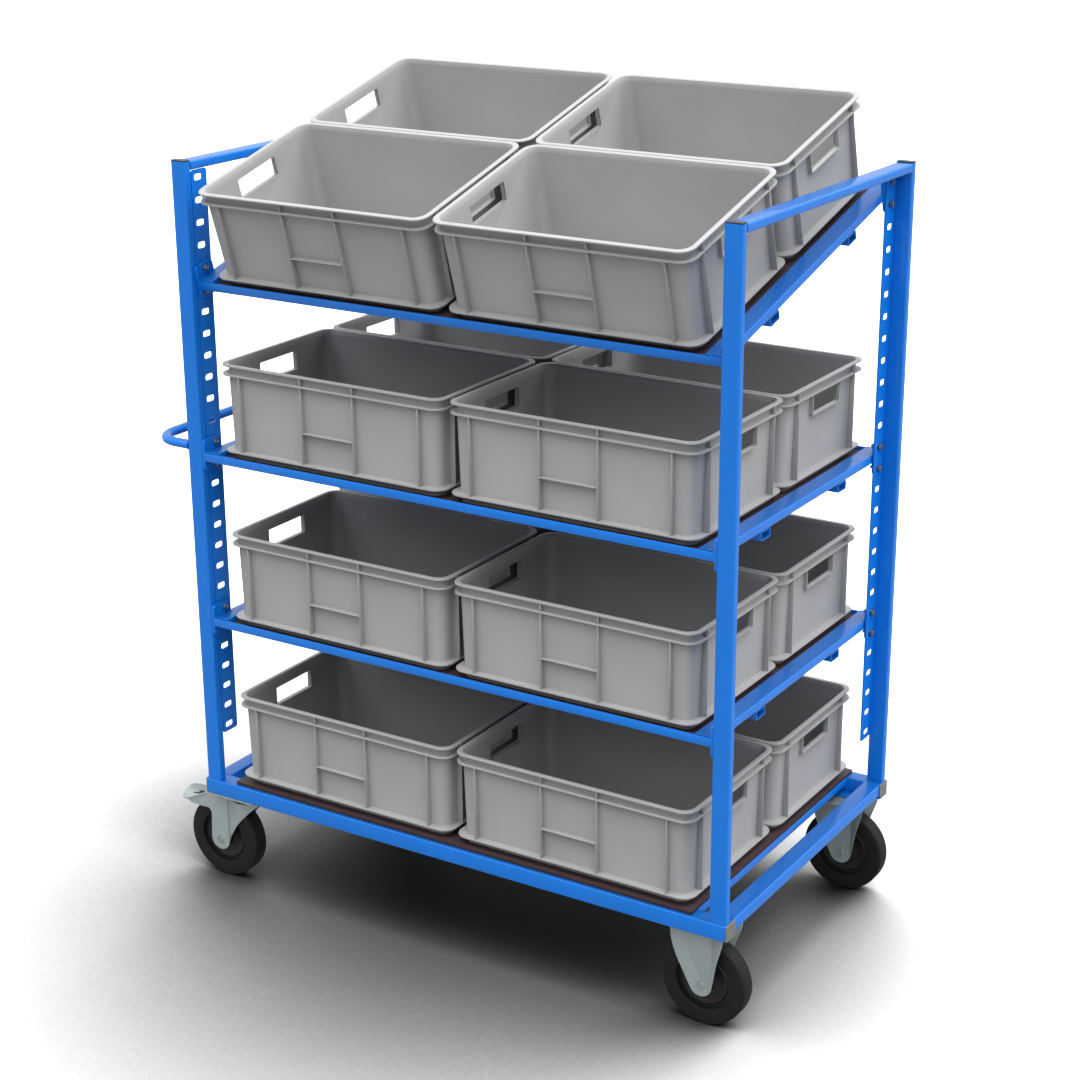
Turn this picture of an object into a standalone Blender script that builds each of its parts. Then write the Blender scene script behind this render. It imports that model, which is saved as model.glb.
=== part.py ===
"""Order picking trolley: a welded tube base on four casters, two slotted side frames, two level
shelves and one tilted top shelf, all loaded with sixteen stacking crates. Metres, +Z up, the
floor at z = 0, the push handle towards -X and the picking side towards -Y."""

import math

import bmesh
import bpy
from mathutils import Matrix

# Gap between pieces that touch, and overrun of every cutter
SEAT = 0.0003
OVERRUN = 0.002

# Edges that turn by more than this stay sharp on smoothly shaded pieces
SHARP_DEGREES = 35.0

# Base frame
BASE_LENGTH = 1.400
BASE_DEPTH = 0.830
RAIL_WIDTH = 0.040
RAIL_HEIGHT = 0.038
RAIL_WALL = 0.0025
RAIL_CORNER = 0.003
END_TUBE_WIDTH = 0.040
END_TUBE_HEIGHT = 0.030
CROSS_WIDTH = 0.040
CROSS_HEIGHT = 0.020
CORNER_PLATE_REACH = 0.032
CORNER_PLATE_LENGTH = 0.130
CORNER_PLATE_THICKNESS = 0.005
RAIL_CAP_THICKNESS = 0.003
RAIL_CAP_PLUG = 0.012

# Hardboard panels
PANEL_THICKNESS = 0.008
BASE_PANEL_FRONT_MARGIN = 0.008

# Side frames
POST_WIDTH = 0.040
POST_DEPTH = 0.020
POST_HEIGHT = 1.471
POST_WALL = 0.002
POST_CORNER = 0.004
POST_END_INSET = 0.004
POST_FACE_INSET = 0.003
TOP_TUBE_HEIGHT = 0.020
POST_CAP_THICKNESS = 0.003
POST_CAP_PLUG = 0.010

# Slotted strips
STRIP_FOOT_GAP = 0.1167
STRIP_WIDTH = 0.050
STRIP_THICKNESS = 0.003
STRIP_END_MARGIN = 0.017
STRIP_CORNER = 0.006
SLOT_PITCH = 0.050
SLOT_LENGTH = 0.025
SLOT_HEIGHT = 0.013
SLOT_CORNER = 0.0045
SLOT_FROM_POST = 0.022

# Push handle
HANDLE_REACH = 0.104
HANDLE_DIAMETER = 0.022
HANDLE_BEND = 0.060
HANDLE_HEIGHT = 1.099
HANDLE_BEND_STEPS = 5
HANDLE_ROUND_STEPS = 4

# Shelf frames: how far below the top slot each shelf's upper bolts go, in the nearest slots; the
# top shelf's rear bolts go in the top slot, and its bolts stand the slack nearer in height than slots
LOWER_SHELF_DROP = 1.000
UPPER_SHELF_DROP = 0.600
TOP_SHELF_FRONT_DROP = 0.200
TILT_SLACK = 0.0035
SHELF_FACE_INSET = 0.006
SHELF_TUBE_WIDTH = 0.040
SHELF_TUBE_HEIGHT = 0.020
SHELF_TUBE_WALL = 0.002
ANGLE_THICKNESS = 0.003
ANGLE_HEIGHT = 0.020
ANGLE_LEG = 0.025
TAB_THICKNESS = 0.003
TAB_WIDTH = 0.052
TAB_HEIGHT = 0.078
TAB_END_MARGIN = 0.007
TAB_CORNER = 0.012
SUPPORT_SPREAD = 0.374
DRAIN_HOLE = 0.008

# Stacking crates
CRATE_LENGTH = 0.600
CRATE_WIDTH = 0.400
CRATE_HEIGHT = 0.220
CRATE_CORNER = 0.032
CRATE_CORNER_STEPS = 1
CRATE_RIM_STEPS = 2
CRATE_WALL = 0.0025
CRATE_FLOOR = 0.004
CRATE_FOOT_HEIGHT = 0.016
CRATE_FOOT_INSET = 0.017
CRATE_FLANGE = 0.0045
CRATE_WALL_INSET = 0.0115
CRATE_TAPER = 0.0045
CRATE_RIM = 0.005
CRATE_NECK = 0.017
CRATE_RIB = 0.003
CRATE_RIB_SETBACK = 0.0005
CRATE_OUTER_RIB_INSET = 0.054
CRATE_MIDDLE_RIB_SPREAD = 0.140
CRATE_LABEL_RIB_HEIGHT = 0.090
CRATE_HOLE_WIDTH = 0.132
CRATE_HOLE_HEIGHT = 0.0435
CRATE_HOLE_DROP = 0.001
CRATE_ROW_GAP = 0.008
CRATE_COLUMN_GAP = 0.002

# Crates that stand off their even place along the shelf
CRATE_SHIFTS = {
    "base_rear_right": 0.006,
    "top_front_left": -0.009,
    "top_front_right": -0.005,
}

# Casters
CASTER_HEIGHT = 0.234
CASTER_SIDE_INSET = 0.074
CASTER_FRONT_INSET = 0.060
CASTER_PLATE_LENGTH = 0.135
CASTER_PLATE_WIDTH = 0.105
CASTER_PLATE_THICKNESS = 0.004
CASTER_PLATE_CORNER = 0.010
WHEEL_DIAMETER = 0.200
WHEEL_WIDTH = 0.040
TYRE_SHOULDER = 0.006
TYRE_INNER_DIAMETER = 0.126
WEB_THICKNESS = 0.020
HUB_DIAMETER = 0.046
HUB_LENGTH = 0.057
WHEEL_BORE = 0.0172
WHEEL_STEPS = 20
AXLE_DIAMETER = 0.0160
AXLE_HEAD_DIAMETER = 0.022
AXLE_HEAD_THICKNESS = 0.005
AXLE_STEPS = 10
AXLE_HEAD_SIDES = 6
FORK_GAP = 0.060
FORK_THICKNESS = 0.003
FORK_TIP_RADIUS = 0.027
FORK_TIP_START_DEGREES = 200.0
FORK_TIP_END_DEGREES = 345.0
FORK_TIP_STEPS = 5
FORK_FLARE_SHARE = 0.25
FORK_CROWN_HEIGHT = 0.210
SWIVEL_TRAIL = 0.063
RACE_DIAMETER = 0.070
RACE_STEPS = 20
PEDAL_PIVOT_BACK = 0.050
PEDAL_PIVOT_HEIGHT = 0.205
PEDAL_THICKNESS = 0.003
PEDAL_TIP_REACH = 0.088
PEDAL_HEEL_REACH = 0.017
PEDAL_RISE = 0.0173
PEDAL_SLOPE_DEGREES = 20.0
PEDAL_CORNER = 0.018
PEDAL_CORNER_STEPS = 2
PEDAL_PIN_DIAMETER = 0.007
PEDAL_PIN_STEPS = 8
PEDAL_CLEARANCE = 0.0012

# Finishes: base colour, roughness, metallic
FINISHES = {
    "blue_powder_coat": ((0.030, 0.190, 0.640), 0.35, 0.0),
    "brown_hardboard": ((0.065, 0.036, 0.032), 0.60, 0.0),
    "grey_plastic": ((0.330, 0.325, 0.315), 0.45, 0.0),
    "cap_grey_plastic": ((0.210, 0.205, 0.190), 0.50, 0.0),
    "black_plastic": ((0.020, 0.020, 0.022), 0.45, 0.0),
    "zinc_plate": ((0.480, 0.520, 0.530), 0.40, 0.9),
    "black_rubber": ((0.018, 0.018, 0.018), 0.70, 0.0),
}

# Heights worked out from the sizes above
RAIL_BOTTOM = CASTER_HEIGHT + SEAT
BASE_TOP = RAIL_BOTTOM + RAIL_HEIGHT
POST_BOTTOM = BASE_TOP + SEAT
POST_TOP = POST_BOTTOM + POST_HEIGHT
STRIP_TOP = POST_TOP - TOP_TUBE_HEIGHT - SEAT
STRIP_LENGTH = STRIP_TOP - POST_BOTTOM - STRIP_FOOT_GAP
FIRST_SLOT = STRIP_TOP - STRIP_END_MARGIN
SLOT_COUNT = 1 + int((STRIP_LENGTH - 2 * STRIP_END_MARGIN + SEAT) / SLOT_PITCH)

# Planes across the trolley: post faces, strips and shelf ends
POST_OUTER_X = BASE_LENGTH / 2 - POST_END_INSET
POST_INNER_X = POST_OUTER_X - POST_WIDTH
POST_FRONT_Y = BASE_DEPTH / 2 - POST_FACE_INSET
POST_BACK_Y = POST_FRONT_Y - POST_DEPTH
POST_MIDDLE_Y = POST_FRONT_Y - POST_DEPTH / 2
SLOT_Y = POST_BACK_Y - SLOT_FROM_POST
TAB_OUTER_X = POST_INNER_X - SEAT
SHELF_OUTER_X = TAB_OUTER_X - TAB_THICKNESS
SHELF_INNER_X = SHELF_OUTER_X - SHELF_TUBE_WIDTH
SHELF_HALF_DEPTH = BASE_DEPTH / 2 - SHELF_FACE_INSET
PANEL_HALF_LENGTH = SHELF_INNER_X - SEAT

# Shelf planes: the shelf's own z = 0 lies midway between its two bolts
PANEL_BOTTOM_Z = SEAT - SHELF_TUBE_HEIGHT / 2
SHELF_CRATE_Z = PANEL_BOTTOM_Z + PANEL_THICKNESS + SEAT
BASE_CRATE_Z = BASE_TOP + SEAT + PANEL_THICKNESS + SEAT

# Crate levels, from the ground up
CRATE_BAND_Z = CRATE_HEIGHT - CRATE_RIM
LOWER_FLANGE_TOP = CRATE_BAND_Z - CRATE_NECK
LOWER_FLANGE_BOTTOM = LOWER_FLANGE_TOP - CRATE_FLANGE
FOOT_FLANGE_TOP = CRATE_FOOT_HEIGHT + CRATE_FLANGE

# Caster stations
CASTER_X = BASE_LENGTH / 2 - CASTER_SIDE_INSET
CASTER_Y = BASE_DEPTH / 2 - CASTER_FRONT_INSET
AXLE_HEIGHT = WHEEL_DIAMETER / 2

SIDES = {"left": -1, "right": 1}
ENDS = {"front": -1, "rear": 1}


def clear_scene():
    for existing in list(bpy.data.objects):
        bpy.data.objects.remove(existing, do_unlink=True)


def finish_for(name, finish):
    """One Principled material for the named piece."""
    colour, roughness, metallic = FINISHES[finish]
    material = bpy.data.materials.new(f"{name}_{finish}")
    material.use_nodes = True
    shader = material.node_tree.nodes["Principled BSDF"]
    shader.inputs["Base Color"].default_value = (*colour, 1.0)
    shader.inputs["Roughness"].default_value = roughness
    shader.inputs["Metallic"].default_value = metallic
    return material


def add_node(name, data, finish, parent, location=(0, 0, 0), rotation=(0, 0, 0)):
    """Places one sub-part, with its own material linked to the object."""
    node = bpy.data.objects.new(name, data)
    bpy.context.scene.collection.objects.link(node)
    if not data.materials:
        data.materials.append(None)
    node.material_slots[0].link = "OBJECT"
    node.material_slots[0].material = finish_for(name, finish)
    node.parent = parent
    node.location = location
    node.rotation_euler = rotation
    return node


def add_empty(name, parent=None, location=(0, 0, 0), rotation=(0, 0, 0)):
    empty = bpy.data.objects.new(name, None)
    bpy.context.scene.collection.objects.link(empty)
    empty.parent = parent
    empty.location = location
    empty.rotation_euler = rotation
    return empty


def mesh_of(form, name, smooth=False):
    """Turns a form into mesh data with its faces outward."""
    bmesh.ops.recalc_face_normals(form, faces=form.faces)
    data = bpy.data.meshes.new(name)
    form.to_mesh(data)
    form.free()
    if smooth:
        data.shade_smooth()
        data.set_sharp_from_angle(angle=math.radians(SHARP_DEGREES))
    return data


def corner_lists(width, height, radius, steps):
    """A rounded rectangle about the origin, anticlockwise, as one list of points per corner."""
    corners = []
    for turn, (side_x, side_y) in enumerate(((1, 1), (-1, 1), (-1, -1), (1, -1))):
        centre_x = side_x * (width / 2 - radius)
        centre_y = side_y * (height / 2 - radius)
        corner = []
        for step in range(steps + 1):
            angle = math.radians(90.0) * (turn + step / steps)
            corner.append((centre_x + radius * math.cos(angle),
                           centre_y + radius * math.sin(angle)))
        corners.append(corner)
    return corners


def rounded_outline(width, height, radius, steps=1):
    return [point for corner in corner_lists(width, height, radius, steps) for point in corner]


def rectangle(low_x, low_y, high_x, high_y):
    return [(low_x, low_y), (high_x, low_y), (high_x, high_y), (low_x, high_y)]


def loft(form, rings, closed=False):
    """Joins rings of equal count with quads; a closed loft runs back to its first ring."""
    pairs = list(zip(rings, rings[1:]))
    if closed:
        pairs.append((rings[-1], rings[0]))
    for first, second in pairs:
        for index in range(len(first)):
            after = (index + 1) % len(first)
            form.faces.new((first[index], first[after], second[after], second[index]))


def ring_of(form, outline, height):
    return [form.verts.new((x, y, height)) for x, y in outline]


def prism(outline, low, high):
    """A solid of one outline between two heights."""
    form = bmesh.new()
    rings = [ring_of(form, outline, low), ring_of(form, outline, high)]
    loft(form, rings)
    for ring in rings:
        form.faces.new(ring)
    return form


def tube_form(outer, inner, low, high):
    """An open tube between two heights, from an outer and an inner outline of equal count."""
    form = bmesh.new()
    rings = [
        ring_of(form, outer, low),
        ring_of(form, outer, high),
        ring_of(form, inner, high),
        ring_of(form, inner, low),
    ]
    loft(form, rings, closed=True)
    return form


def revolve(profile, steps):
    """A ring-shaped solid of a closed (radius, height) profile turned about Z."""
    form = bmesh.new()
    rings = []
    for step in range(steps):
        angle = math.radians(360.0) * step / steps
        across = (math.cos(angle), math.sin(angle))
        rings.append([form.verts.new((radius * across[0], radius * across[1], height))
                      for radius, height in profile])
    loft(form, rings, closed=True)
    return form


def circle(radius, steps, centre_x=0, centre_y=0):
    points = []
    for step in range(steps):
        angle = math.radians(360.0) * (step + 0.5) / steps
        points.append((centre_x + radius * math.cos(angle), centre_y + radius * math.sin(angle)))
    return points


def turned(form, matrix):
    bmesh.ops.transform(form, matrix=matrix, verts=form.verts)
    return form


# Turns that lay a form made along Z onto another axis
ALONG_X = Matrix(((0, 0, 1, 0), (1, 0, 0, 0), (0, 1, 0, 0), (0, 0, 0, 1)))
ALONG_Y = Matrix(((0, 1, 0, 0), (0, 0, 1, 0), (1, 0, 0, 0), (0, 0, 0, 1)))
XZ_TO_Y = Matrix(((1, 0, 0, 0), (0, 0, 1, 0), (0, 1, 0, 0), (0, 0, 0, 1)))


def block(low, high):
    """A plain box between two corners."""
    return prism(rectangle(low[0], low[1], high[0], high[1]), low[2], high[2])


def helper(form, name):
    """A hidden construction solid for a Boolean."""
    solid = bpy.data.objects.new(name, mesh_of(form, name))
    bpy.context.scene.collection.objects.link(solid)
    solid.hide_render = True
    solid.display_type = "WIRE"
    return solid


def combined(name, forms, cutters=(), trims=()):
    """The union of some forms, kept only within the trims and less the cutters, as mesh data."""
    solid = helper(forms[0], name)
    helpers = [solid]
    steps = [("UNION", form) for form in forms[1:]]
    steps += [("INTERSECT", form) for form in trims]
    steps += [("DIFFERENCE", form) for form in cutters]
    for operation, form in steps:
        other = helper(form, f"{name}_{operation.lower()}")
        helpers.append(other)
        modifier = solid.modifiers.new(operation.title(), "BOOLEAN")
        modifier.operation = operation
        modifier.object = other
    graph = bpy.context.evaluated_depsgraph_get()
    data = bpy.data.meshes.new_from_object(solid.evaluated_get(graph))
    data.name = name
    for used in helpers:
        used_data = used.data
        bpy.data.objects.remove(used)
        bpy.data.meshes.remove(used_data)
    return data


def box_tube(width, height, wall, corner, length):
    """A rectangular tube centred on its own axis, which is Z."""
    outer = rounded_outline(width, height, corner)
    inner = rounded_outline(width - 2 * wall, height - 2 * wall, corner / 2)
    return tube_form(outer, inner, -length / 2, length / 2)


# Base frame


def build_base(root):
    rail_y = BASE_DEPTH / 2 - RAIL_WIDTH / 2
    rail_z = RAIL_BOTTOM + RAIL_HEIGHT / 2
    rail_length = BASE_LENGTH - 2 * RAIL_CAP_THICKNESS - 2 * SEAT
    for end, sign in ENDS.items():
        add_node(f"base_{end}_rail", rail_mesh(sign, rail_length), "blue_powder_coat", root,
                 (0, sign * rail_y, rail_z))
        for side, hand in SIDES.items():
            add_node(f"rail_cap_{end}_{side}", rail_cap_mesh(hand), "cap_grey_plastic", root,
                     (hand * (rail_length / 2 + SEAT), sign * rail_y, rail_z))
    between_rails = BASE_DEPTH - 2 * RAIL_WIDTH - 2 * SEAT
    across = Matrix.Rotation(math.radians(90.0), 4, "X")
    end_tube = box_tube(END_TUBE_WIDTH, END_TUBE_HEIGHT, RAIL_WALL, RAIL_CORNER, between_rails)
    end_tube_data = mesh_of(turned(end_tube, across), "base_end_tube")
    cross = box_tube(CROSS_WIDTH, CROSS_HEIGHT, RAIL_WALL, RAIL_CORNER, between_rails)
    cross_data = mesh_of(turned(cross, across), "base_cross_member")
    end_x = BASE_LENGTH / 2 - END_TUBE_WIDTH / 2 - RAIL_CAP_THICKNESS
    cross_x = PANEL_HALF_LENGTH - CROSS_WIDTH / 2
    for side, hand in SIDES.items():
        add_node(f"base_end_tube_{side}", end_tube_data, "blue_powder_coat", root,
                 (hand * end_x, 0, BASE_TOP - END_TUBE_HEIGHT / 2))
        add_node(f"base_cross_member_{side}", cross_data, "blue_powder_coat", root,
                 (hand * cross_x, 0, BASE_TOP - CROSS_HEIGHT / 2))
    add_node("base_cross_member_centre", cross_data, "blue_powder_coat", root,
             (0, 0, BASE_TOP - CROSS_HEIGHT / 2))
    half_depth = BASE_DEPTH / 2 - BASE_PANEL_FRONT_MARGIN
    panel_data = panel_mesh("base_panel", half_depth)
    add_node("base_panel", panel_data, "brown_hardboard", root, (0, 0, BASE_TOP + SEAT))


def panel_mesh(name, half_depth):
    low = (-PANEL_HALF_LENGTH, -half_depth, 0)
    high = (PANEL_HALF_LENGTH, half_depth, PANEL_THICKNESS)
    return mesh_of(block(low, high), name)


def rail_mesh(sign, length):
    """A long rail with the two plates on its inner lower edge that the casters bolt to."""
    tube = turned(box_tube(RAIL_WIDTH, RAIL_HEIGHT, RAIL_WALL, RAIL_CORNER, length), ALONG_X)
    plates = []
    inner_y = -sign * (RAIL_WIDTH / 2 - RAIL_WALL / 2)
    reach_y = -sign * (RAIL_WIDTH / 2 + CORNER_PLATE_REACH)
    low_z = -RAIL_HEIGHT / 2
    for hand in SIDES.values():
        middle = hand * CASTER_X
        low = (middle - CORNER_PLATE_LENGTH / 2, min(inner_y, reach_y), low_z)
        high = (middle + CORNER_PLATE_LENGTH / 2, max(inner_y, reach_y), low_z + CORNER_PLATE_THICKNESS)
        plates.append(block(low, high))
    return combined("base_rail", [tube, *plates])


def rail_cap_mesh(hand):
    """A plastic end cap with the plug that holds it in the rail."""
    cap = prism(rounded_outline(RAIL_WIDTH, RAIL_HEIGHT, RAIL_CORNER), 0, RAIL_CAP_THICKNESS)
    plug_width = RAIL_WIDTH - 2 * RAIL_WALL - 2 * SEAT
    plug_height = RAIL_HEIGHT - 2 * RAIL_WALL - 2 * SEAT
    plug = prism(rounded_outline(plug_width, plug_height, RAIL_CORNER),
                 -RAIL_CAP_PLUG, RAIL_CAP_THICKNESS / 2)
    data = combined("rail_cap", [cap, plug])
    data.transform(ALONG_X)
    if hand < 0:
        data.transform(Matrix.Rotation(math.radians(180.0), 4, "Z"))
    return data


# Side frames


def side_frame_mesh(hand):
    """Two posts and the tube between their heads, hollow throughout and open at the feet."""
    post_x = hand * (POST_OUTER_X - POST_WIDTH / 2)
    top_z = POST_TOP - TOP_TUBE_HEIGHT / 2
    outers = []
    bores = []
    bore_width = POST_WIDTH - 2 * POST_WALL
    bore_depth = POST_DEPTH - 2 * POST_WALL
    for sign in ENDS.values():
        place = Matrix.Translation((post_x, sign * POST_MIDDLE_Y, 0))
        post = prism(rounded_outline(POST_WIDTH, POST_DEPTH, POST_CORNER), POST_BOTTOM, POST_TOP)
        outers.append(turned(post, place))
        bore = prism(rounded_outline(bore_width, bore_depth, POST_CORNER - POST_WALL),
                     POST_BOTTOM - OVERRUN, POST_TOP + OVERRUN)
        bores.append(turned(bore, place))
    along_y = Matrix.Translation((post_x, 0, top_z)) @ ALONG_Y
    half = POST_MIDDLE_Y
    tube = prism(rounded_outline(TOP_TUBE_HEIGHT, POST_WIDTH, POST_CORNER), -half, half)
    outers.append(turned(tube, along_y))
    bore = prism(rounded_outline(TOP_TUBE_HEIGHT - 2 * POST_WALL, bore_width, POST_CORNER - POST_WALL),
                 -half, half)
    bores.append(turned(bore, along_y))
    return combined("side_frame", outers, bores)


def strip_mesh():
    """A flat bar with a ladder of slots; its origin lies on the top slot, and local Y runs off the post."""
    bar = prism(rounded_outline(STRIP_WIDTH, STRIP_LENGTH, STRIP_CORNER),
                -STRIP_THICKNESS / 2, STRIP_THICKNESS / 2)
    centre = Matrix.Translation((STRIP_WIDTH / 2 - SLOT_FROM_POST, STRIP_END_MARGIN - STRIP_LENGTH / 2, 0))
    slots = []
    for number in range(SLOT_COUNT):
        drop = SLOT_PITCH * number
        slots.append(block((-SLOT_LENGTH / 2, -drop - SLOT_HEIGHT / 2, -STRIP_THICKNESS),
                           (SLOT_LENGTH / 2, SLOT_HEIGHT / 2 - drop, STRIP_THICKNESS)))
    data = combined("slotted_strip", [turned(bar, centre)], slots)
    data.transform(ALONG_X)
    return data


def build_side_frames(root):
    strip_data = strip_mesh()
    strip_x = POST_INNER_X + STRIP_THICKNESS / 2
    for side, hand in SIDES.items():
        add_node(f"side_frame_{side}", side_frame_mesh(hand), "blue_powder_coat", root)
        for end, sign in ENDS.items():
            turn = math.radians(90.0 * (sign + 1))
            add_node(f"slotted_strip_{end}_{side}", strip_data, "blue_powder_coat", root,
                     (hand * strip_x, sign * (SLOT_Y - SEAT), FIRST_SLOT), (0, 0, turn))
            add_node(f"post_cap_{end}_{side}", post_cap_mesh(), "black_plastic", root,
                     (hand * (POST_OUTER_X - POST_WIDTH / 2), sign * POST_MIDDLE_Y, POST_TOP + SEAT))


def post_cap_mesh():
    cap = prism(rounded_outline(POST_WIDTH, POST_DEPTH, POST_CORNER), 0, POST_CAP_THICKNESS)
    plug_width = POST_WIDTH - 2 * POST_WALL - 2 * SEAT
    plug_depth = POST_DEPTH - 2 * POST_WALL - 2 * SEAT
    plug = prism(rounded_outline(plug_width, plug_depth, POST_CORNER - POST_WALL),
                 -POST_CAP_PLUG, POST_CAP_THICKNESS / 2)
    return combined("post_cap", [cap, plug])


def build_handle(root):
    """A round tube bent into a flat U, its legs welded to the outer faces of the left posts."""
    near_x = -POST_OUTER_X - SEAT
    bar_x = near_x - HANDLE_REACH
    path = [(near_x, -POST_MIDDLE_Y)]
    for sign, start in ((-1, 270.0), (1, 180.0)):
        centre = (bar_x + HANDLE_BEND, sign * (POST_MIDDLE_Y - HANDLE_BEND))
        for step in range(HANDLE_BEND_STEPS + 1):
            angle = math.radians(start - 90.0 * step / HANDLE_BEND_STEPS)
            path.append((centre[0] + HANDLE_BEND * math.cos(angle),
                         centre[1] + HANDLE_BEND * math.sin(angle)))
    path.append((near_x, POST_MIDDLE_Y))
    curve = bpy.data.curves.new("push_handle", "CURVE")
    curve.dimensions = "3D"
    curve.bevel_depth = HANDLE_DIAMETER / 2
    curve.bevel_resolution = HANDLE_ROUND_STEPS
    curve.use_fill_caps = True
    spline = curve.splines.new("POLY")
    spline.points.add(len(path) - 1)
    for point, (x, y) in zip(spline.points, path):
        point.co = (x, y, 0, 1)
    add_node("push_handle", curve, "blue_powder_coat", root, (0, 0, HANDLE_HEIGHT))


# Shelves


def shelf_frame_mesh():
    """Front and rear angles, side tubes, support tubes underneath and the four bolting tabs."""
    half_height = SHELF_TUBE_HEIGHT / 2
    leg_bottom = -half_height - ANGLE_THICKNESS
    angle_top = leg_bottom + ANGLE_HEIGHT
    pieces = []
    cuts = []
    for sign in ENDS.values():
        face_y = sign * SHELF_HALF_DEPTH
        inner_y = sign * (SHELF_HALF_DEPTH - ANGLE_THICKNESS)
        leg_y = sign * (SHELF_HALF_DEPTH - ANGLE_LEG)
        profile = [
            (face_y, leg_bottom),
            (face_y, angle_top),
            (inner_y, angle_top),
            (inner_y, -half_height),
            (leg_y, -half_height),
            (leg_y, leg_bottom),
        ]
        pieces.append(turned(prism(profile, -SHELF_OUTER_X, SHELF_OUTER_X), ALONG_X))
    tube_y = SHELF_HALF_DEPTH - ANGLE_THICKNESS / 2
    bore_y = tube_y - ANGLE_THICKNESS
    for hand in SIDES.values():
        inner, outer = sorted((hand * SHELF_INNER_X, hand * SHELF_OUTER_X))
        pieces.append(block((inner, -tube_y, -half_height), (outer, tube_y, half_height)))
        cuts.append(block(
            (inner + SHELF_TUBE_WALL, -bore_y, SHELF_TUBE_WALL - half_height),
            (outer - SHELF_TUBE_WALL, bore_y, half_height - SHELF_TUBE_WALL),
        ))
        middle = (inner + outer) / 2
        cuts.append(block(
            (middle - DRAIN_HOLE / 2, -DRAIN_HOLE / 2, -half_height - OVERRUN),
            (middle + DRAIN_HOLE / 2, DRAIN_HOLE / 2, 0),
        ))
    support_top = -half_height
    support_bottom = support_top - SHELF_TUBE_HEIGHT
    weld = SHELF_TUBE_WALL / 2
    for sign in ENDS.values():
        low_y, high_y = sorted((sign * (SUPPORT_SPREAD - SHELF_TUBE_WIDTH) / 2,
                                sign * (SUPPORT_SPREAD + SHELF_TUBE_WIDTH) / 2))
        pieces.append(block((-SHELF_OUTER_X, low_y, support_bottom),
                            (SHELF_OUTER_X, high_y, support_top)))
        for hand in SIDES.values():
            low_x, high_x = sorted((hand * (SHELF_INNER_X + weld), hand * (SHELF_OUTER_X - weld)))
            pieces.append(block((low_x, low_y + weld, support_top - weld),
                                (high_x, high_y - weld, support_top + weld)))
        end_x = SHELF_OUTER_X + OVERRUN
        cuts.append(block((-end_x, low_y + SHELF_TUBE_WALL, support_bottom + SHELF_TUBE_WALL),
                          (end_x, high_y - SHELF_TUBE_WALL, support_top - SHELF_TUBE_WALL)))
    tab = rounded_outline(TAB_WIDTH, TAB_HEIGHT, TAB_CORNER)
    for sign in ENDS.values():
        middle_y = sign * (SHELF_HALF_DEPTH - TAB_END_MARGIN - TAB_WIDTH / 2)
        for hand in SIDES.values():
            low_x, high_x = sorted((hand * (SHELF_OUTER_X - weld), hand * TAB_OUTER_X))
            outline = [(y + middle_y, z) for y, z in tab]
            pieces.append(turned(prism(outline, low_x, high_x), ALONG_X))
    return combined("shelf_frame", pieces, cuts)


def shelf_stations():
    """Name, height of the shelf's middle and tilt of each shelf, from its bolt slots."""
    drops = {"lower": (LOWER_SHELF_DROP, LOWER_SHELF_DROP), "upper": (UPPER_SHELF_DROP, UPPER_SHELF_DROP),
             "top": (TOP_SHELF_FRONT_DROP, 0)}
    stations = []
    for name, ends in drops.items():
        front, rear = [round(drop / SLOT_PITCH) for drop in ends]
        middle_slot = (front + rear + 1) / 2
        rise = SLOT_PITCH * (front - rear)
        tilt = math.asin((rise - TILT_SLACK) / (2 * SLOT_Y)) if rise else 0
        stations.append((name, FIRST_SLOT - SLOT_PITCH * middle_slot, tilt))
    return stations


def build_shelves(root):
    frame_data = shelf_frame_mesh()
    half_depth = SHELF_HALF_DEPTH - ANGLE_THICKNESS - SEAT
    panel_data = panel_mesh("shelf_panel", half_depth)
    shelves = {}
    for name, height, tilt in shelf_stations():
        station = add_empty(f"shelf_{name}", root, (0, 0, height), (tilt, 0, 0))
        add_node(f"shelf_frame_{name}", frame_data, "blue_powder_coat", station)
        add_node(f"shelf_panel_{name}", panel_data, "brown_hardboard", station, (0, 0, PANEL_BOTTOM_Z))
        shelves[name] = station
    return shelves


# Crates


def crate_ring(form, inset, height, steps):
    """One level of the crate's rounded outline, drawn in from the full size."""
    corners = corner_lists(CRATE_LENGTH - 2 * inset, CRATE_WIDTH - 2 * inset,
                           CRATE_CORNER - inset / 2, steps)
    return [[form.verts.new((x, y, height)) for x, y in corner] for corner in corners]


def bridge(form, lower, upper):
    """Joins two crate rings whose corners may have one or two facets."""
    for turn, first in enumerate(lower):
        second = upper[turn]
        after = (turn + 1) % len(lower)
        if len(first) == len(second):
            for index in range(len(first) - 1):
                form.faces.new((first[index], first[index + 1], second[index + 1], second[index]))
        elif len(first) < len(second):
            form.faces.new((first[0], second[1], second[0]))
            form.faces.new((first[0], first[1], second[1]))
            form.faces.new((first[1], second[2], second[1]))
        else:
            form.faces.new((first[0], first[1], second[0]))
            form.faces.new((first[1], second[1], second[0]))
            form.faces.new((first[1], first[2], second[1]))
        form.faces.new((first[-1], lower[after][0], upper[after][0], second[-1]))


def wall_inset(height):
    """How far the tapered outer wall stands in from the rim at a height."""
    share = (LOWER_FLANGE_BOTTOM - height) / (LOWER_FLANGE_BOTTOM - FOOT_FLANGE_TOP)
    return CRATE_WALL_INSET + CRATE_TAPER * share


def loft_levels(levels):
    """A solid through crate rings given as inset, height and facets to a corner."""
    form = bmesh.new()
    rings = [crate_ring(form, inset, height, steps) for inset, height, steps in levels]
    for lower, upper in zip(rings, rings[1:]):
        bridge(form, lower, upper)
    for ring in (rings[0], rings[-1]):
        form.faces.new([vertex for corner in ring for vertex in corner])
    return form


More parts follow.
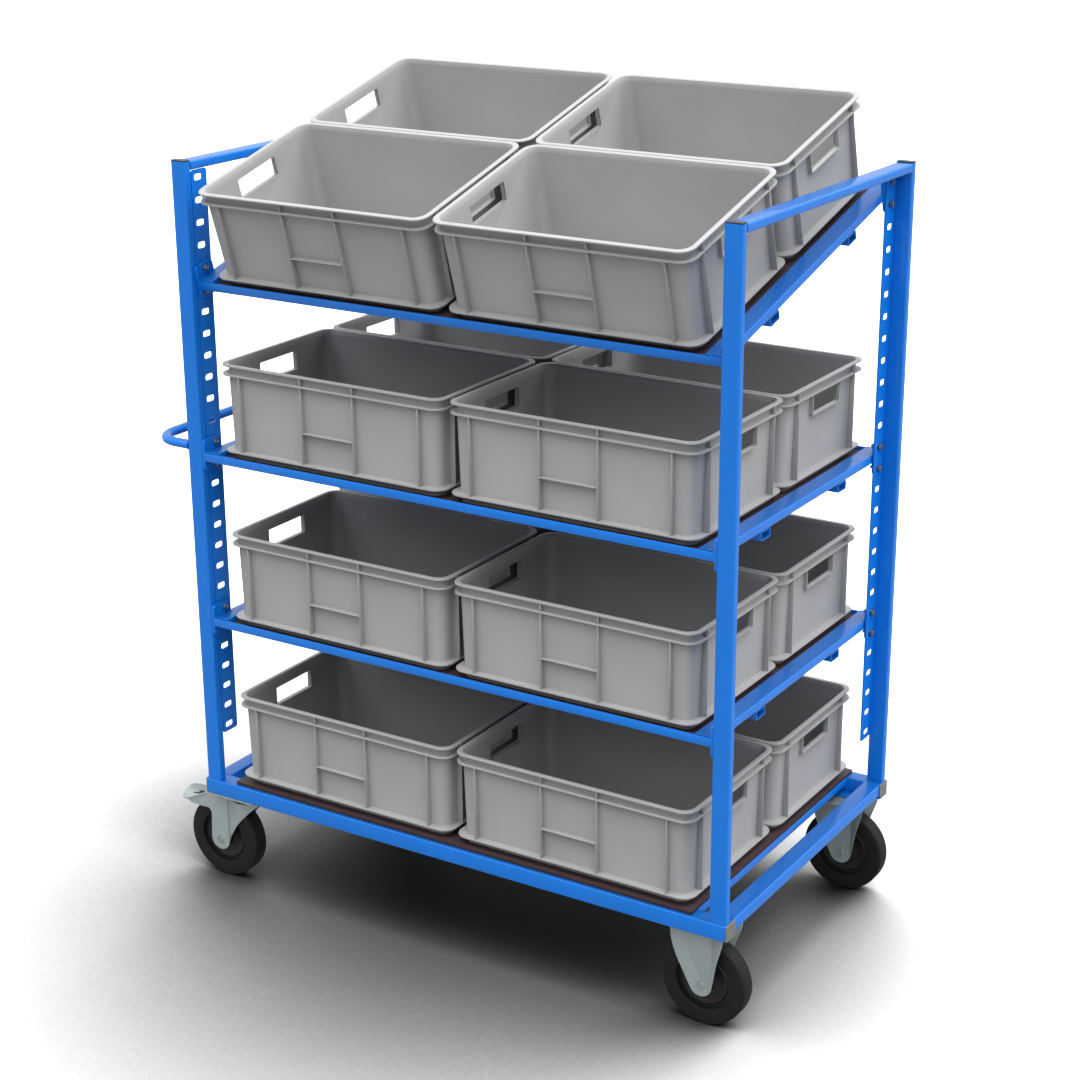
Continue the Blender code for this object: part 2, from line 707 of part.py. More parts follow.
def crate_outside():
    """The moulded box before it is hollowed, from its foot by both flanges and the neck to the rim."""
    foot_wall = wall_inset(FOOT_FLANGE_TOP)
    plain = CRATE_CORNER_STEPS
    rim = CRATE_RIM_STEPS
    levels = [
        (CRATE_FOOT_INSET, 0, plain),
        (CRATE_FOOT_INSET, CRATE_FOOT_HEIGHT, plain),
        (0, CRATE_FOOT_HEIGHT, plain),
        (0, FOOT_FLANGE_TOP, plain),
        (foot_wall, FOOT_FLANGE_TOP, plain),
        (CRATE_WALL_INSET, LOWER_FLANGE_BOTTOM, plain),
        (0, LOWER_FLANGE_BOTTOM, plain),
        (0, LOWER_FLANGE_TOP, plain),
        (CRATE_WALL_INSET, LOWER_FLANGE_TOP, plain),
        (CRATE_WALL_INSET, CRATE_BAND_Z, plain),
        (0, CRATE_BAND_Z, rim),
        (0, CRATE_HEIGHT, rim),
    ]
    return loft_levels(levels)


def crate_inside():
    """The hollow, which tapers into the foot and overruns the rim."""
    bottom_inset = CRATE_FOOT_INSET + CRATE_WALL
    top_inset = CRATE_WALL_INSET + CRATE_WALL
    slope = (bottom_inset - top_inset) / (CRATE_HEIGHT - CRATE_FLOOR)
    return loft_levels([
        (bottom_inset, CRATE_FLOOR, CRATE_CORNER_STEPS),
        (top_inset - slope * OVERRUN, CRATE_HEIGHT + OVERRUN, CRATE_CORNER_STEPS),
    ])


def crate_wall_ribs():
    """Upright ribs and the label rib on both long walls."""
    ribs = []
    root_inset = CRATE_WALL_INSET + CRATE_TAPER + CRATE_WALL / 2
    low_z = CRATE_FOOT_HEIGHT + CRATE_FLANGE / 2
    high_z = LOWER_FLANGE_BOTTOM + CRATE_FLANGE / 2
    label_top = CRATE_LABEL_RIB_HEIGHT + CRATE_RIB
    label_half = CRATE_MIDDLE_RIB_SPREAD / 2
    half_rib = CRATE_RIB / 2
    outer_spread = CRATE_LENGTH - 2 * CRATE_OUTER_RIB_INSET
    for sign in ENDS.values():
        low_y, high_y = sorted((sign * (CRATE_WIDTH / 2 - CRATE_RIB_SETBACK),
                                sign * (CRATE_WIDTH / 2 - root_inset)))
        for spread in (outer_spread, CRATE_MIDDLE_RIB_SPREAD):
            for hand in SIDES.values():
                middle = hand * spread / 2
                ribs.append(block((middle - half_rib, low_y, low_z),
                                  (middle + half_rib, high_y, high_z)))
        ribs.append(block((-label_half, low_y, CRATE_LABEL_RIB_HEIGHT), (label_half, high_y, label_top)))
    return ribs


def crate_mesh():
    """A whole crate with its own origin under the middle of its foot."""
    holes = []
    hole_top = LOWER_FLANGE_BOTTOM - CRATE_HOLE_DROP
    hole_depth = CRATE_WALL_INSET + CRATE_TAPER + CRATE_WALL
    for hand in SIDES.values():
        low_x, high_x = sorted((hand * (CRATE_LENGTH / 2 + OVERRUN),
                                hand * (CRATE_LENGTH / 2 - hole_depth)))
        holes.append(block((low_x, -CRATE_HOLE_WIDTH / 2, hole_top - CRATE_HOLE_HEIGHT),
                           (high_x, CRATE_HOLE_WIDTH / 2, hole_top)))
    return combined("crate", [crate_outside(), *crate_wall_ribs()], [crate_inside(), *holes])


def build_crates(root, shelves):
    data = crate_mesh()
    levels = {"base": (root, BASE_CRATE_Z)}
    for name, station in shelves.items():
        levels[name] = (station, SHELF_CRATE_Z)
    for level, (parent, height) in levels.items():
        for end, sign in ENDS.items():
            for side, hand in SIDES.items():
                even_x = hand * (CRATE_LENGTH + CRATE_ROW_GAP) / 2
                shift = CRATE_SHIFTS.get(f"{level}_{end}_{side}", 0)
                place = (even_x + shift, sign * (CRATE_WIDTH + CRATE_COLUMN_GAP) / 2, height)
                add_node(f"crate_{level}_{end}_{side}", data, "grey_plastic", parent, place)


# Casters


def wheel_mesh():
    """Tyre, recessed web and hub in one turned shape about Y."""
    half = WHEEL_WIDTH / 2
    profile_half = [
        (WHEEL_BORE / 2, HUB_LENGTH / 2),
        (HUB_DIAMETER / 2, HUB_LENGTH / 2),
        (HUB_DIAMETER / 2, WEB_THICKNESS / 2),
        (TYRE_INNER_DIAMETER / 2, half),
        (WHEEL_DIAMETER / 2 - TYRE_SHOULDER, half),
        (WHEEL_DIAMETER / 2, half - TYRE_SHOULDER),
    ]
    profile = profile_half + [(radius, -height) for radius, height in reversed(profile_half)]
    form = turned(revolve(profile, WHEEL_STEPS), Matrix.Rotation(math.radians(90.0), 4, "X"))
    return mesh_of(form, "wheel", smooth=True)


def form_of(data):
    form = bmesh.new()
    form.from_mesh(data)
    return form


def folded_legs(outline, crease_x):
    """Two fork legs of one outline; beyond the crease both fold in towards the wheel's mid-plane."""
    low_x = min(x for x, _ in outline) - OVERRUN
    high_x = max(x for x, _ in outline) + OVERRUN
    low_z = min(z for _, z in outline) - OVERRUN
    high_z = max(z for _, z in outline) + OVERRUN
    fold = (high_x - crease_x) * FORK_FLARE_SHARE
    plates = []
    for sign in ENDS.values():
        inner = FORK_GAP / 2
        outer = inner + FORK_THICKNESS
        profile = [(low_x, inner), (crease_x, inner), (high_x, inner - fold),
                   (high_x, outer - fold), (crease_x, outer), (low_x, outer)]
        plates.append(prism([(x, sign * y) for x, y in profile], low_z, high_z))
    trim = turned(prism(outline, -FORK_GAP, FORK_GAP), XZ_TO_Y)
    return form_of(combined("fork_legs", plates, trims=[trim]))


def arc_points(centre_x, centre_z, radius, start, end, steps):
    points = []
    for step in range(steps + 1):
        angle = math.radians(start + (end - start) * step / steps)
        points.append((centre_x + radius * math.cos(angle), centre_z + radius * math.sin(angle)))
    return points


def axle_form():
    """The wheel bolt with its head and nut, along Y."""
    length = FORK_GAP + 2 * FORK_THICKNESS
    shank = prism(circle(AXLE_DIAMETER / 2, AXLE_STEPS), -length / 2, length / 2)
    heads = []
    for sign in ENDS.values():
        low, high = sorted((sign * (length / 2 - FORK_THICKNESS / 2),
                            sign * (length / 2 + AXLE_HEAD_THICKNESS)))
        heads.append(prism(circle(AXLE_HEAD_DIAMETER / 2, AXLE_HEAD_SIDES), low, high))
    place = Matrix.Translation((0, 0, AXLE_HEIGHT)) @ Matrix.Rotation(math.radians(90.0), 4, "X")
    return [turned(form, place) for form in (shank, *heads)]


# Outlines of the fork legs, as shares of the wheel radius from the axle
BRACKET_LEFT_SHARES = [(-0.30, -0.10), (-0.55, 0.30), (-0.80, 1.12)]
BRACKET_RIGHT_SHARES = [(0.45, 1.12), (0.33, 0.62)]
BRACKET_CREASE_SHARE = 0.22
SWIVEL_LEFT_SHARES = [
    (-0.28, 0.56), (-0.34, 0.66), (-0.44, 0.70), (-0.62, 0.70), (-0.62, 0.86), (-0.40, 1.02),
]
SWIVEL_RIGHT_SHARES = [(1.05, 1.02), (0.88, 0.94), (0.70, 0.76), (0.52, 0.52), (0.36, 0.20)]


def outline_of(left_shares, right_shares, top):
    """A leg outline about the axle: its rounded tip, right edge upwards, top and left edge down."""
    radius = WHEEL_DIAMETER / 2
    tip = arc_points(0, AXLE_HEIGHT, FORK_TIP_RADIUS, FORK_TIP_START_DEGREES,
                     FORK_TIP_END_DEGREES, FORK_TIP_STEPS)
    right = [(x * radius, AXLE_HEIGHT + z * radius) for x, z in right_shares]
    left = [(x * radius, AXLE_HEIGHT + z * radius) for x, z in left_shares]
    return [*tip, *reversed(right), (right[0][0], top), (left[-1][0], top), *reversed(left)]


def caster_plate():
    outline = rounded_outline(CASTER_PLATE_LENGTH, CASTER_PLATE_WIDTH, CASTER_PLATE_CORNER)
    return prism(outline, CASTER_HEIGHT - CASTER_PLATE_THICKNESS, CASTER_HEIGHT)


def fixed_bracket_mesh():
    top = CASTER_HEIGHT - CASTER_PLATE_THICKNESS / 2
    outline = outline_of(BRACKET_LEFT_SHARES, BRACKET_RIGHT_SHARES, top)
    legs = folded_legs(outline, BRACKET_CREASE_SHARE * WHEEL_DIAMETER / 2)
    return combined("fixed_bracket", [caster_plate(), legs, *axle_form()])


def swivel_head_mesh():
    """The fixed top plate with the ball race under it."""
    race = prism(circle(RACE_DIAMETER / 2, RACE_STEPS), FORK_CROWN_HEIGHT + SEAT,
                 CASTER_HEIGHT - CASTER_PLATE_THICKNESS / 2)
    return combined("swivel_head", [caster_plate(), race])


def swivel_fork_mesh():
    """Two swept legs under a crown plate, with the wheel bolt; the wheel trails towards -X."""
    top = FORK_CROWN_HEIGHT - FORK_THICKNESS / 2
    outline = outline_of(SWIVEL_LEFT_SHARES, SWIVEL_RIGHT_SHARES, top)
    legs = folded_legs(outline, FORK_TIP_RADIUS)
    half = FORK_GAP / 2 + FORK_THICKNESS / 2
    low_x = -PEDAL_PIVOT_BACK / 2
    crown = prism(rectangle(low_x, -half, FORK_TIP_RADIUS, half),
                  FORK_CROWN_HEIGHT - FORK_THICKNESS, FORK_CROWN_HEIGHT)
    disc = prism(circle(RACE_DIAMETER / 2, RACE_STEPS, SWIVEL_TRAIL),
                 FORK_CROWN_HEIGHT - FORK_THICKNESS, FORK_CROWN_HEIGHT)
    return combined("swivel_fork", [crown, disc, legs, *axle_form()])


def brake_pedal_mesh():
    """A tread plate and the two cheeks that hang it between the fork legs, about its pivot."""
    half_width = FORK_GAP / 2 - PEDAL_CLEARANCE
    length = PEDAL_TIP_REACH + PEDAL_HEEL_REACH
    tread = prism(rounded_outline(length, 2 * half_width, PEDAL_CORNER, PEDAL_CORNER_STEPS),
                  PEDAL_RISE - PEDAL_THICKNESS, PEDAL_RISE)
    tread = turned(tread, Matrix.Translation(((PEDAL_HEEL_REACH - PEDAL_TIP_REACH) / 2, 0, 0)))
    under = PEDAL_RISE - PEDAL_THICKNESS / 2
    cheek_tip = PEDAL_CORNER - PEDAL_TIP_REACH
    cheek_heel = PEDAL_HEEL_REACH - PEDAL_CORNER / 2
    profile = [
        (cheek_tip, under),
        (cheek_tip, under - 2 * PEDAL_THICKNESS),
        (-PEDAL_PIN_DIAMETER, -PEDAL_PIN_DIAMETER),
        (PEDAL_PIN_DIAMETER, -PEDAL_PIN_DIAMETER),
        (cheek_heel, under),
    ]
    cheeks = []
    for sign in ENDS.values():
        low, high = sorted((sign * half_width, sign * (half_width - PEDAL_THICKNESS)))
        cheeks.append(turned(prism(profile, low, high), XZ_TO_Y))
    pin_half = half_width - PEDAL_THICKNESS / 2
    pin = prism(circle(PEDAL_PIN_DIAMETER / 2, PEDAL_PIN_STEPS), -pin_half, pin_half)
    pin = turned(pin, Matrix.Rotation(math.radians(90.0), 4, "X"))
    data = combined("brake_pedal", [tread, *cheeks, pin])
    data.transform(Matrix.Rotation(-math.radians(PEDAL_SLOPE_DEGREES), 4, "Y"))
    return data


def build_casters(root):
    wheel_data = wheel_mesh()
    bracket_data = fixed_bracket_mesh()
    head_data = swivel_head_mesh()
    fork_data = swivel_fork_mesh()
    pedal_data = brake_pedal_mesh()
    for end, sign in ENDS.items():
        station = (CASTER_X, sign * CASTER_Y, 0)
        add_node(f"fixed_bracket_{end}", bracket_data, "zinc_plate", root, station)
        add_node(f"wheel_{end}_right", wheel_data, "black_rubber", root,
                 (CASTER_X, sign * CASTER_Y, AXLE_HEIGHT))
        add_node(f"swivel_head_{end}", head_data, "zinc_plate", root, (-CASTER_X, sign * CASTER_Y, 0))
        swivel = add_empty(f"swivel_axis_{end}", root, (-CASTER_X, sign * CASTER_Y, 0))
        add_node(f"swivel_fork_{end}", fork_data, "zinc_plate", swivel, (-SWIVEL_TRAIL, 0, 0))
        add_node(f"wheel_{end}_left", wheel_data, "black_rubber", swivel, (-SWIVEL_TRAIL, 0, AXLE_HEIGHT))
        add_node(f"brake_pedal_{end}", pedal_data, "zinc_plate", swivel,
                 (-SWIVEL_TRAIL - PEDAL_PIVOT_BACK, 0, PEDAL_PIVOT_HEIGHT))


def trolley_root():
    """The empty that carries everything; it centres the whole outline on the origin."""
    handle_reach = POST_OUTER_X + SEAT + HANDLE_REACH + HANDLE_DIAMETER / 2
    slope = math.radians(PEDAL_SLOPE_DEGREES)
    tip_reach = PEDAL_TIP_REACH * math.cos(slope) + PEDAL_RISE * math.sin(slope)
    pedal_reach = CASTER_X + SWIVEL_TRAIL + PEDAL_PIVOT_BACK + tip_reach
    tilt = shelf_stations()[-1][-1]
    crate_front = CRATE_WIDTH + CRATE_COLUMN_GAP / 2
    crate_top = SHELF_CRATE_Z + CRATE_HEIGHT
    front_reach = crate_front * math.cos(tilt) + crate_top * math.sin(tilt)
    right_reach = max(BASE_LENGTH / 2, CASTER_X + WHEEL_DIAMETER / 2)
    shift_x = (max(handle_reach, pedal_reach) - right_reach) / 2
    shift_y = (max(front_reach, BASE_DEPTH / 2) - BASE_DEPTH / 2) / 2
    return add_empty("trolley", None, (shift_x, shift_y, 0))


def build():
    clear_scene()
    root = trolley_root()
    build_base(root)
    build_side_frames(root)
    build_handle(root)
    shelves = build_shelves(root)
    build_crates(root, shelves)
    build_casters(root)


build()
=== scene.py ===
"""Looks of the order picking trolley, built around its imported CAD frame. Metres, +Z up, the push
handle towards -X and the picking side towards -Y."""

import math

import bmesh
import bpy
from mathutils import Matrix, Vector


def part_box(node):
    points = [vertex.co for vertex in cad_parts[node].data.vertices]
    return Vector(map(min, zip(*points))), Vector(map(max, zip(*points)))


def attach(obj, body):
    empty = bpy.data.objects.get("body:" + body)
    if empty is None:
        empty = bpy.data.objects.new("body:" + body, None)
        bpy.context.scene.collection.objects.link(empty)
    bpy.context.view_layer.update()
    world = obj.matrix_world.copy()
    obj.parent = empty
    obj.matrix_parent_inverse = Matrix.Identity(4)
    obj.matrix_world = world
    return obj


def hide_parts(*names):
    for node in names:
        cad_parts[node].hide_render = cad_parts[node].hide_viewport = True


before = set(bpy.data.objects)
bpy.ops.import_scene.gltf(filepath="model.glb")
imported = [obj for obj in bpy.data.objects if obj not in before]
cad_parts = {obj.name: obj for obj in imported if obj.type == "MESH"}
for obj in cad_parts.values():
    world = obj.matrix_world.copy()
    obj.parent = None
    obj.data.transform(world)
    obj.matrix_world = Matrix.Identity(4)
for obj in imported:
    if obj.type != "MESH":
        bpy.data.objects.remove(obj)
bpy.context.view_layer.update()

MM = 0.001
SIDES = {"left": -1, "right": 1}
ENDS = {"front": -1, "rear": 1}
SHARP_DEGREES = 32.0
FILLET_SHARE = 0.48

# Base frame
BASE_LENGTH = 1.400
BASE_DEPTH = 0.830
RAIL_WIDTH = 0.040
RAIL_HEIGHT = 0.038
RAIL_WALL = 0.0025
RAIL_ROUND = 0.0030
BASE_TOP = 0.2723
RAIL_CAP_THICKNESS = 0.003
END_TUBE = (0.040, 0.030)
CROSS_TUBE = (0.040, 0.020)
CORNER_PLATE = (0.130, 0.032, 0.005)
PANEL_THICKNESS = 0.008
SEAT = 0.0003

# Side frames
POST_WIDTH = 0.040
POST_DEPTH = 0.020
POST_ROUND = 0.0042
POST_WALL = 0.002
POST_BOTTOM = 0.2726
POST_TOP = 1.7436
POST_OUTER_X = 0.696
POST_MIDDLE_Y = 0.402
POST_JOINT = 0.0008
TOP_TUBE_HEIGHT = 0.020
CAP_HEIGHT = 0.0028
WELD_WIDTH_SHARE = 0.42
WELD_HEIGHT_SHARES = (0.9, 0.1)

# Slotted strips
STRIP_WIDTH = 0.050
STRIP_THICKNESS = 0.003
STRIP_CORNER = 0.006
SLOT_PITCH = 0.050
SLOT_COUNT = 27
SLOT_SIZE = (0.026, 0.014)
SLOT_ROUND = 0.0052
SLOT_FROM_POST = 0.022
SLOT_Y = 0.370
STRIP_END = 0.017
FIRST_SLOT = 1.7063
STRIP_INNER_X = 0.656

# Push handle
HANDLE_REACH = 0.104
HANDLE_RADIUS = 0.011
HANDLE_BEND = 0.060
HANDLE_Z = 1.099
HANDLE_STEPS = 24
HANDLE_BEND_STEPS = 20
# The weld bead at the tube's ends: share of the tube's radius, distance from the post
BEAD_PROFILE = [(0.9, 0), (1.17, 0), (1.12, 0.0016), (0.99, 0.0030), (0.9, 0.0030)]

# Shelves
SHELF_SLOTS = {"lower": (20, 20), "upper": (12, 12), "top": (4, 0)}
SHELF_OUTER_X = 0.6527
SHELF_TUBE = (0.040, 0.020)
SHELF_TUBE_ROUND = 0.0022
SHELF_TUBE_WALL = 0.002
SHELF_HALF_DEPTH = 0.409
ANGLE_LEG = 0.025
ANGLE_THICKNESS = 0.003
ANGLE_HEIGHT = 0.020
TILT_SLACK = 0.0035
TAB = (0.059, 0.078, 0.006)
TAB_CORNER = 0.012
SUPPORT_SPREAD = 0.374

# Crates: metres down to the shifts, then millimetres; a level is an inset from the rim and a height
CRATE_LENGTH = 0.600
CRATE_WIDTH = 0.400
CRATE_CORNER = 0.032
CRATE_STEPS = 8
CRATE_GAPS = (0.008, 0.002)
# From each exact place along X and Y: front left, front right, rear left, rear right
CRATE_SHIFTS = {
    "base": [(-0.002, -0.001), (0.001, -0.001), (0.001, -0.001), (0.006, 0)],
    "lower": [(-0.003, 0.001), (0.002, 0.001), (-0.003, 0.001), (0.001, 0.001)],
    "upper": [(-0.006, 0.003), (-0.001, 0.003), (-0.003, 0.003), (-0.001, 0.003)],
    "top": [(-0.006, 0), (-0.003, 0), (-0.001, 0), (-0.001, 0)],
}
CRATE_OUTSIDE = [
    (19.0, 0.0), (17.8, 0.5), (17.2, 1.8), (17.0, 13.5), (16.2, 15.4), (14.5, 16.0),
    (1.2, 16.0), (0.3, 16.4), (0.0, 17.3), (0.0, 19.3), (0.3, 20.1), (1.2, 20.5),
    (13.8, 20.5), (15.6, 21.3), (16.0, 23.0), (11.7, 191.5), (10.4, 193.5), (1.2, 193.5),
    (0.3, 193.9), (0.0, 194.8), (0.0, 196.8), (0.3, 197.6), (1.2, 198.0), (10.6, 198.0),
    (11.5, 198.9), (11.5, 214.1), (10.6, 215.0), (0.9, 215.0), (0.2, 215.5), (0.0, 216.3),
    (0.0, 218.2), (0.6, 219.2), (1.8, 219.7),
]
CRATE_INSIDE = [
    (9.8, 219.7), (10.6, 219.4), (11.2, 218.6), (14.2, 206.0), (18.6, 14.0), (20.5, 7.0),
    (23.5, 4.6), (27.5, 4.0),
]
CRATE_WALL = ((17.2, 20.2), (12.7, 193.8))
CRATE_NECK = (11.8, 197.6, 215.4)
CRATE_RIBS = (241.0, 70.0)
CRATE_RIB = 2.4
CRATE_RIB_EDGE = 0.6
CRATE_NECK_RIB_EDGE = 0.5
CRATE_SHARP_DEGREES = 30.0
CRATE_RIB_SETBACK = 0.8
CRATE_LABEL_RIB_Z = 90.0
CRATE_END_RIB = 142.0
CRATE_HOLE = {"width": 132.0, "height": 43.5, "top": 192.5, "corner": 2.5, "inward": 60.0, "outward": 10.0}
CRATE_POCKET = {"width": 134.5, "bottom": 147.75, "radius": 3.0, "thick": 2.5, "setback": 3.5}
CRATE_MARK = {"x": 246.0, "inset": 5.4, "long": 9.0, "wide": 2.3, "low": 219.0, "high": 219.98, "edge": 0.2}

# Casters
CASTER_X = 0.626
CASTER_Y = 0.355
CASTER_HEIGHT = 0.234
PLATE_THICKNESS = 0.004
PLATE_CORNER = 0.010
PLATE_SIZES = {"fixed": (0.115, 0.105), "swivel": (0.135, 0.118)}
WHEEL_RADIUS = 0.100
SWIVEL_TRAIL = 0.063
FORK_GAP = 0.060
FORK_THICKNESS = 0.003
FORK_TIP = 0.027
CROWN_Z = 0.210
CROWN_BACK = 0.025
CROWN_RADIUS = 0.035

ORIGIN = Matrix.Translation((sum(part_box("base_panel"), Vector()) / 2) * Vector((1, 1, 0)))


# Forms


def linear(red, green, blue):
    """A written colour as linear light."""
    channels = [value / 255.0 for value in (red, green, blue)]
    return [c / 12.92 if c <= 0.04045 else ((c + 0.055) / 1.055) ** 2.4 for c in channels]


def rounded(width, height, radius, steps=4):
    """A rounded rectangle about the origin, anticlockwise."""
    points = []
    for turn, (hand, up) in enumerate(((1, 1), (-1, 1), (-1, -1), (1, -1))):
        for step in range(steps + 1):
            angle = math.radians(90.0) * (turn + step / steps)
            points.append((hand * (width / 2 - radius) + radius * math.cos(angle),
                           up * (height / 2 - radius) + radius * math.sin(angle)))
    return points


def disc(radius, steps=24):
    return [(radius * math.cos(math.tau * step / steps), radius * math.sin(math.tau * step / steps))
            for step in range(steps)]


def one_side(sign, near, far):
    """Two distances from the middle on one side of it, the lower place first."""
    return sorted((sign * near, sign * far))


def headings(path):
    """The direction of travel at each point of a path."""
    points = [Vector(point) for point in path]
    pairs = zip([points[0], *points], [*points[1:], points[-1]])
    return [(after - before).normalized() for before, after in pairs]


def filleted(corners, radius, steps=4):
    """A polygon with its corners rounded, as far as its edges allow."""
    points = []
    for index, corner in enumerate(corners):
        here = Vector(corner)
        before = Vector(corners[index - 1]) - here
        after = Vector(corners[(index + 1) % len(corners)]) - here
        reach = min(radius, before.length * FILLET_SHARE, after.length * FILLET_SHARE)
        start = here + before.normalized() * reach
        end = here + after.normalized() * reach
        for step in range(steps + 1):
            share = step / steps
            points.append(tuple(start * (1 - share) ** 2 + here * 2 * share * (1 - share) + end * share ** 2))
    return points


def loft(form, rings, closed=False):
    """Joins rings of points with quads, capped unless closed, and returns the new vertices."""
    rows = [[form.verts.new(point) for point in ring] for ring in rings]
    pairs = list(zip(rows, rows[1:]))
    if closed:
        pairs.append((rows[-1], rows[0]))
    for first, second in pairs:
        for index in range(len(first)):
            after = (index + 1) % len(first)
            form.faces.new((first[index], first[after], second[after], second[index]))
    if not closed:
        form.faces.new(rows[0])
        form.faces.new(rows[-1])
    return [vertex for row in rows for vertex in row]


def moved(form, vertices, matrix):
    bmesh.ops.transform(form, matrix=matrix, verts=vertices)


def prism(form, outline, low, high, edge=0.0, matrix=None):
    """A solid of one outline between two heights, its rims chamfered by edge."""
    rings = [[(x, y, low + edge) for x, y in outline], [(x, y, high - edge) for x, y in outline]]
    if edge:
        middle = Vector((sum(x for x, _ in outline), sum(y for _, y in outline))) / len(outline)
        spokes = [Vector(point) - middle for point in outline]
        inner = [middle + spoke * (1 - edge / max(spoke.length, edge)) for spoke in spokes]
        rings.insert(0, [(x, y, low) for x, y in inner])
        rings.append([(x, y, high) for x, y in inner])
    made = loft(form, rings)
    if matrix:
        moved(form, made, matrix)


def tube(form, width, height, radius, wall, length, matrix):
    """An open rectangular tube about its own Z axis."""
    outer = rounded(width, height, radius, 5)
    inner = rounded(width - 2 * wall, height - 2 * wall, max(radius - wall, wall / 4), 5)
    half = length / 2
    rings = [[(x, y, z) for x, y in outline]
             for outline, z in ((outer, -half), (outer, half), (inner, half), (inner, -half))]
    moved(form, loft(form, rings, closed=True), matrix)


def eased(form, made, edge):
    """Rounds the edges of a new solid in a form."""
    edges = list({side for vertex in made for side in vertex.link_edges})
    bmesh.ops.bevel(form, geom=edges, offset=edge, segments=2, affect="EDGES", profile=0.5)


def bar(form, low, high, edge):
    """A box between two corners with rounded edges."""
    low, high = Vector(low), Vector(high)
    made = bmesh.ops.create_cube(form, size=1.0)["verts"]
    moved(form, made, Matrix.Translation((low + high) / 2) @ Matrix.Diagonal((*(high - low), 1)))
    eased(form, made, edge)


def turned(form, profile, steps, matrix):
    """A closed (radius, height) profile turned about Z."""
    rings = []
    for step in range(steps):
        angle = math.radians(360.0) * step / steps
        rings.append([(radius * math.cos(angle), radius * math.sin(angle), height)
                      for radius, height in profile])
    moved(form, loft(form, rings, closed=True), matrix)


def mesh_of(form, name, finish, sharp=SHARP_DEGREES):
    """Closes a form into mesh data with its material and smooth shading."""
    bmesh.ops.recalc_face_normals(form, faces=form.faces)
    data = bpy.data.meshes.new(name)
    form.to_mesh(data)
    form.free()
    data.materials.append(finish)
    data.shade_smooth()
    data.set_sharp_from_angle(angle=math.radians(sharp))
    return data


def cut(data, form, name):
    """Cuts a closed form out of mesh data, with the exact solver."""
    cutter_data = bpy.data.meshes.new(name)
    bmesh.ops.recalc_face_normals(form, faces=form.faces)
    form.to_mesh(cutter_data)
    form.free()
    cutter = bpy.data.objects.new(f"{name}_cutter", cutter_data)
    solid = bpy.data.objects.new(f"{name}_solid", data)
    for helper in (cutter, solid):
        bpy.context.scene.collection.objects.link(helper)
    step = solid.modifiers.new("Cut", "BOOLEAN")
    step.operation = "DIFFERENCE"
    step.solver = "EXACT"
    step.object = cutter
    graph = bpy.context.evaluated_depsgraph_get()
    result = bpy.data.meshes.new_from_object(solid.evaluated_get(graph))
    for helper in (cutter, solid):
        bpy.data.objects.remove(helper)
    return result


def piece(name, data, body, nodes=(), matrix=None):
    """One piece of the visual model, in place on its body."""
    made = bpy.data.objects.new(name, data)
    bpy.context.scene.collection.objects.link(made)
    made.matrix_world = ORIGIN @ (matrix or Matrix())
    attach(made, body)
    if nodes:
        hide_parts(*nodes)


def painted(name, data, node, matrix=None):
    """A blue piece on the trolley's own body, in place of one node."""
    piece(name, data, "trolley", [node], matrix)


ALONG_X = Matrix(((0, 0, 1, 0), (1, 0, 0, 0), (0, 1, 0, 0), (0, 0, 0, 1)))
ALONG_Y = Matrix(((0, 1, 0, 0), (0, 0, 1, 0), (1, 0, 0, 0), (0, 0, 0, 1)))
UPRIGHT = Matrix(((1, 0, 0, 0), (0, 0, 1, 0), (0, 1, 0, 0), (0, 0, 0, 1)))
ABOUT_AXLE = Matrix.Rotation(math.pi / 2, 4, "X")


def at(x, y, z):
    return Matrix.Translation((x, y, z))


# Materials


# Painted shade on faces that look up: the share of the colour kept there on paint and zinc, then on the
# crates, and the range of the normal's Z over which it comes in.
TOP_SHADE_SHARE = 0.48
CRATE_TOP_SHADE_SHARE = 0.91
LOOKS_UP = (0.6, 0.95)


def sums(tree, operation, first, second):
    """One step of arithmetic in a node tree, on numbers or outputs; returns its output."""
    node = tree.nodes.new("ShaderNodeMath")
    node.operation = operation
    for socket, value in zip(node.inputs, (first, second)):
        if isinstance(value, (int, float)):
            socket.default_value = value
        else:
            tree.links.new(value, socket)
    return node.outputs["Value"]


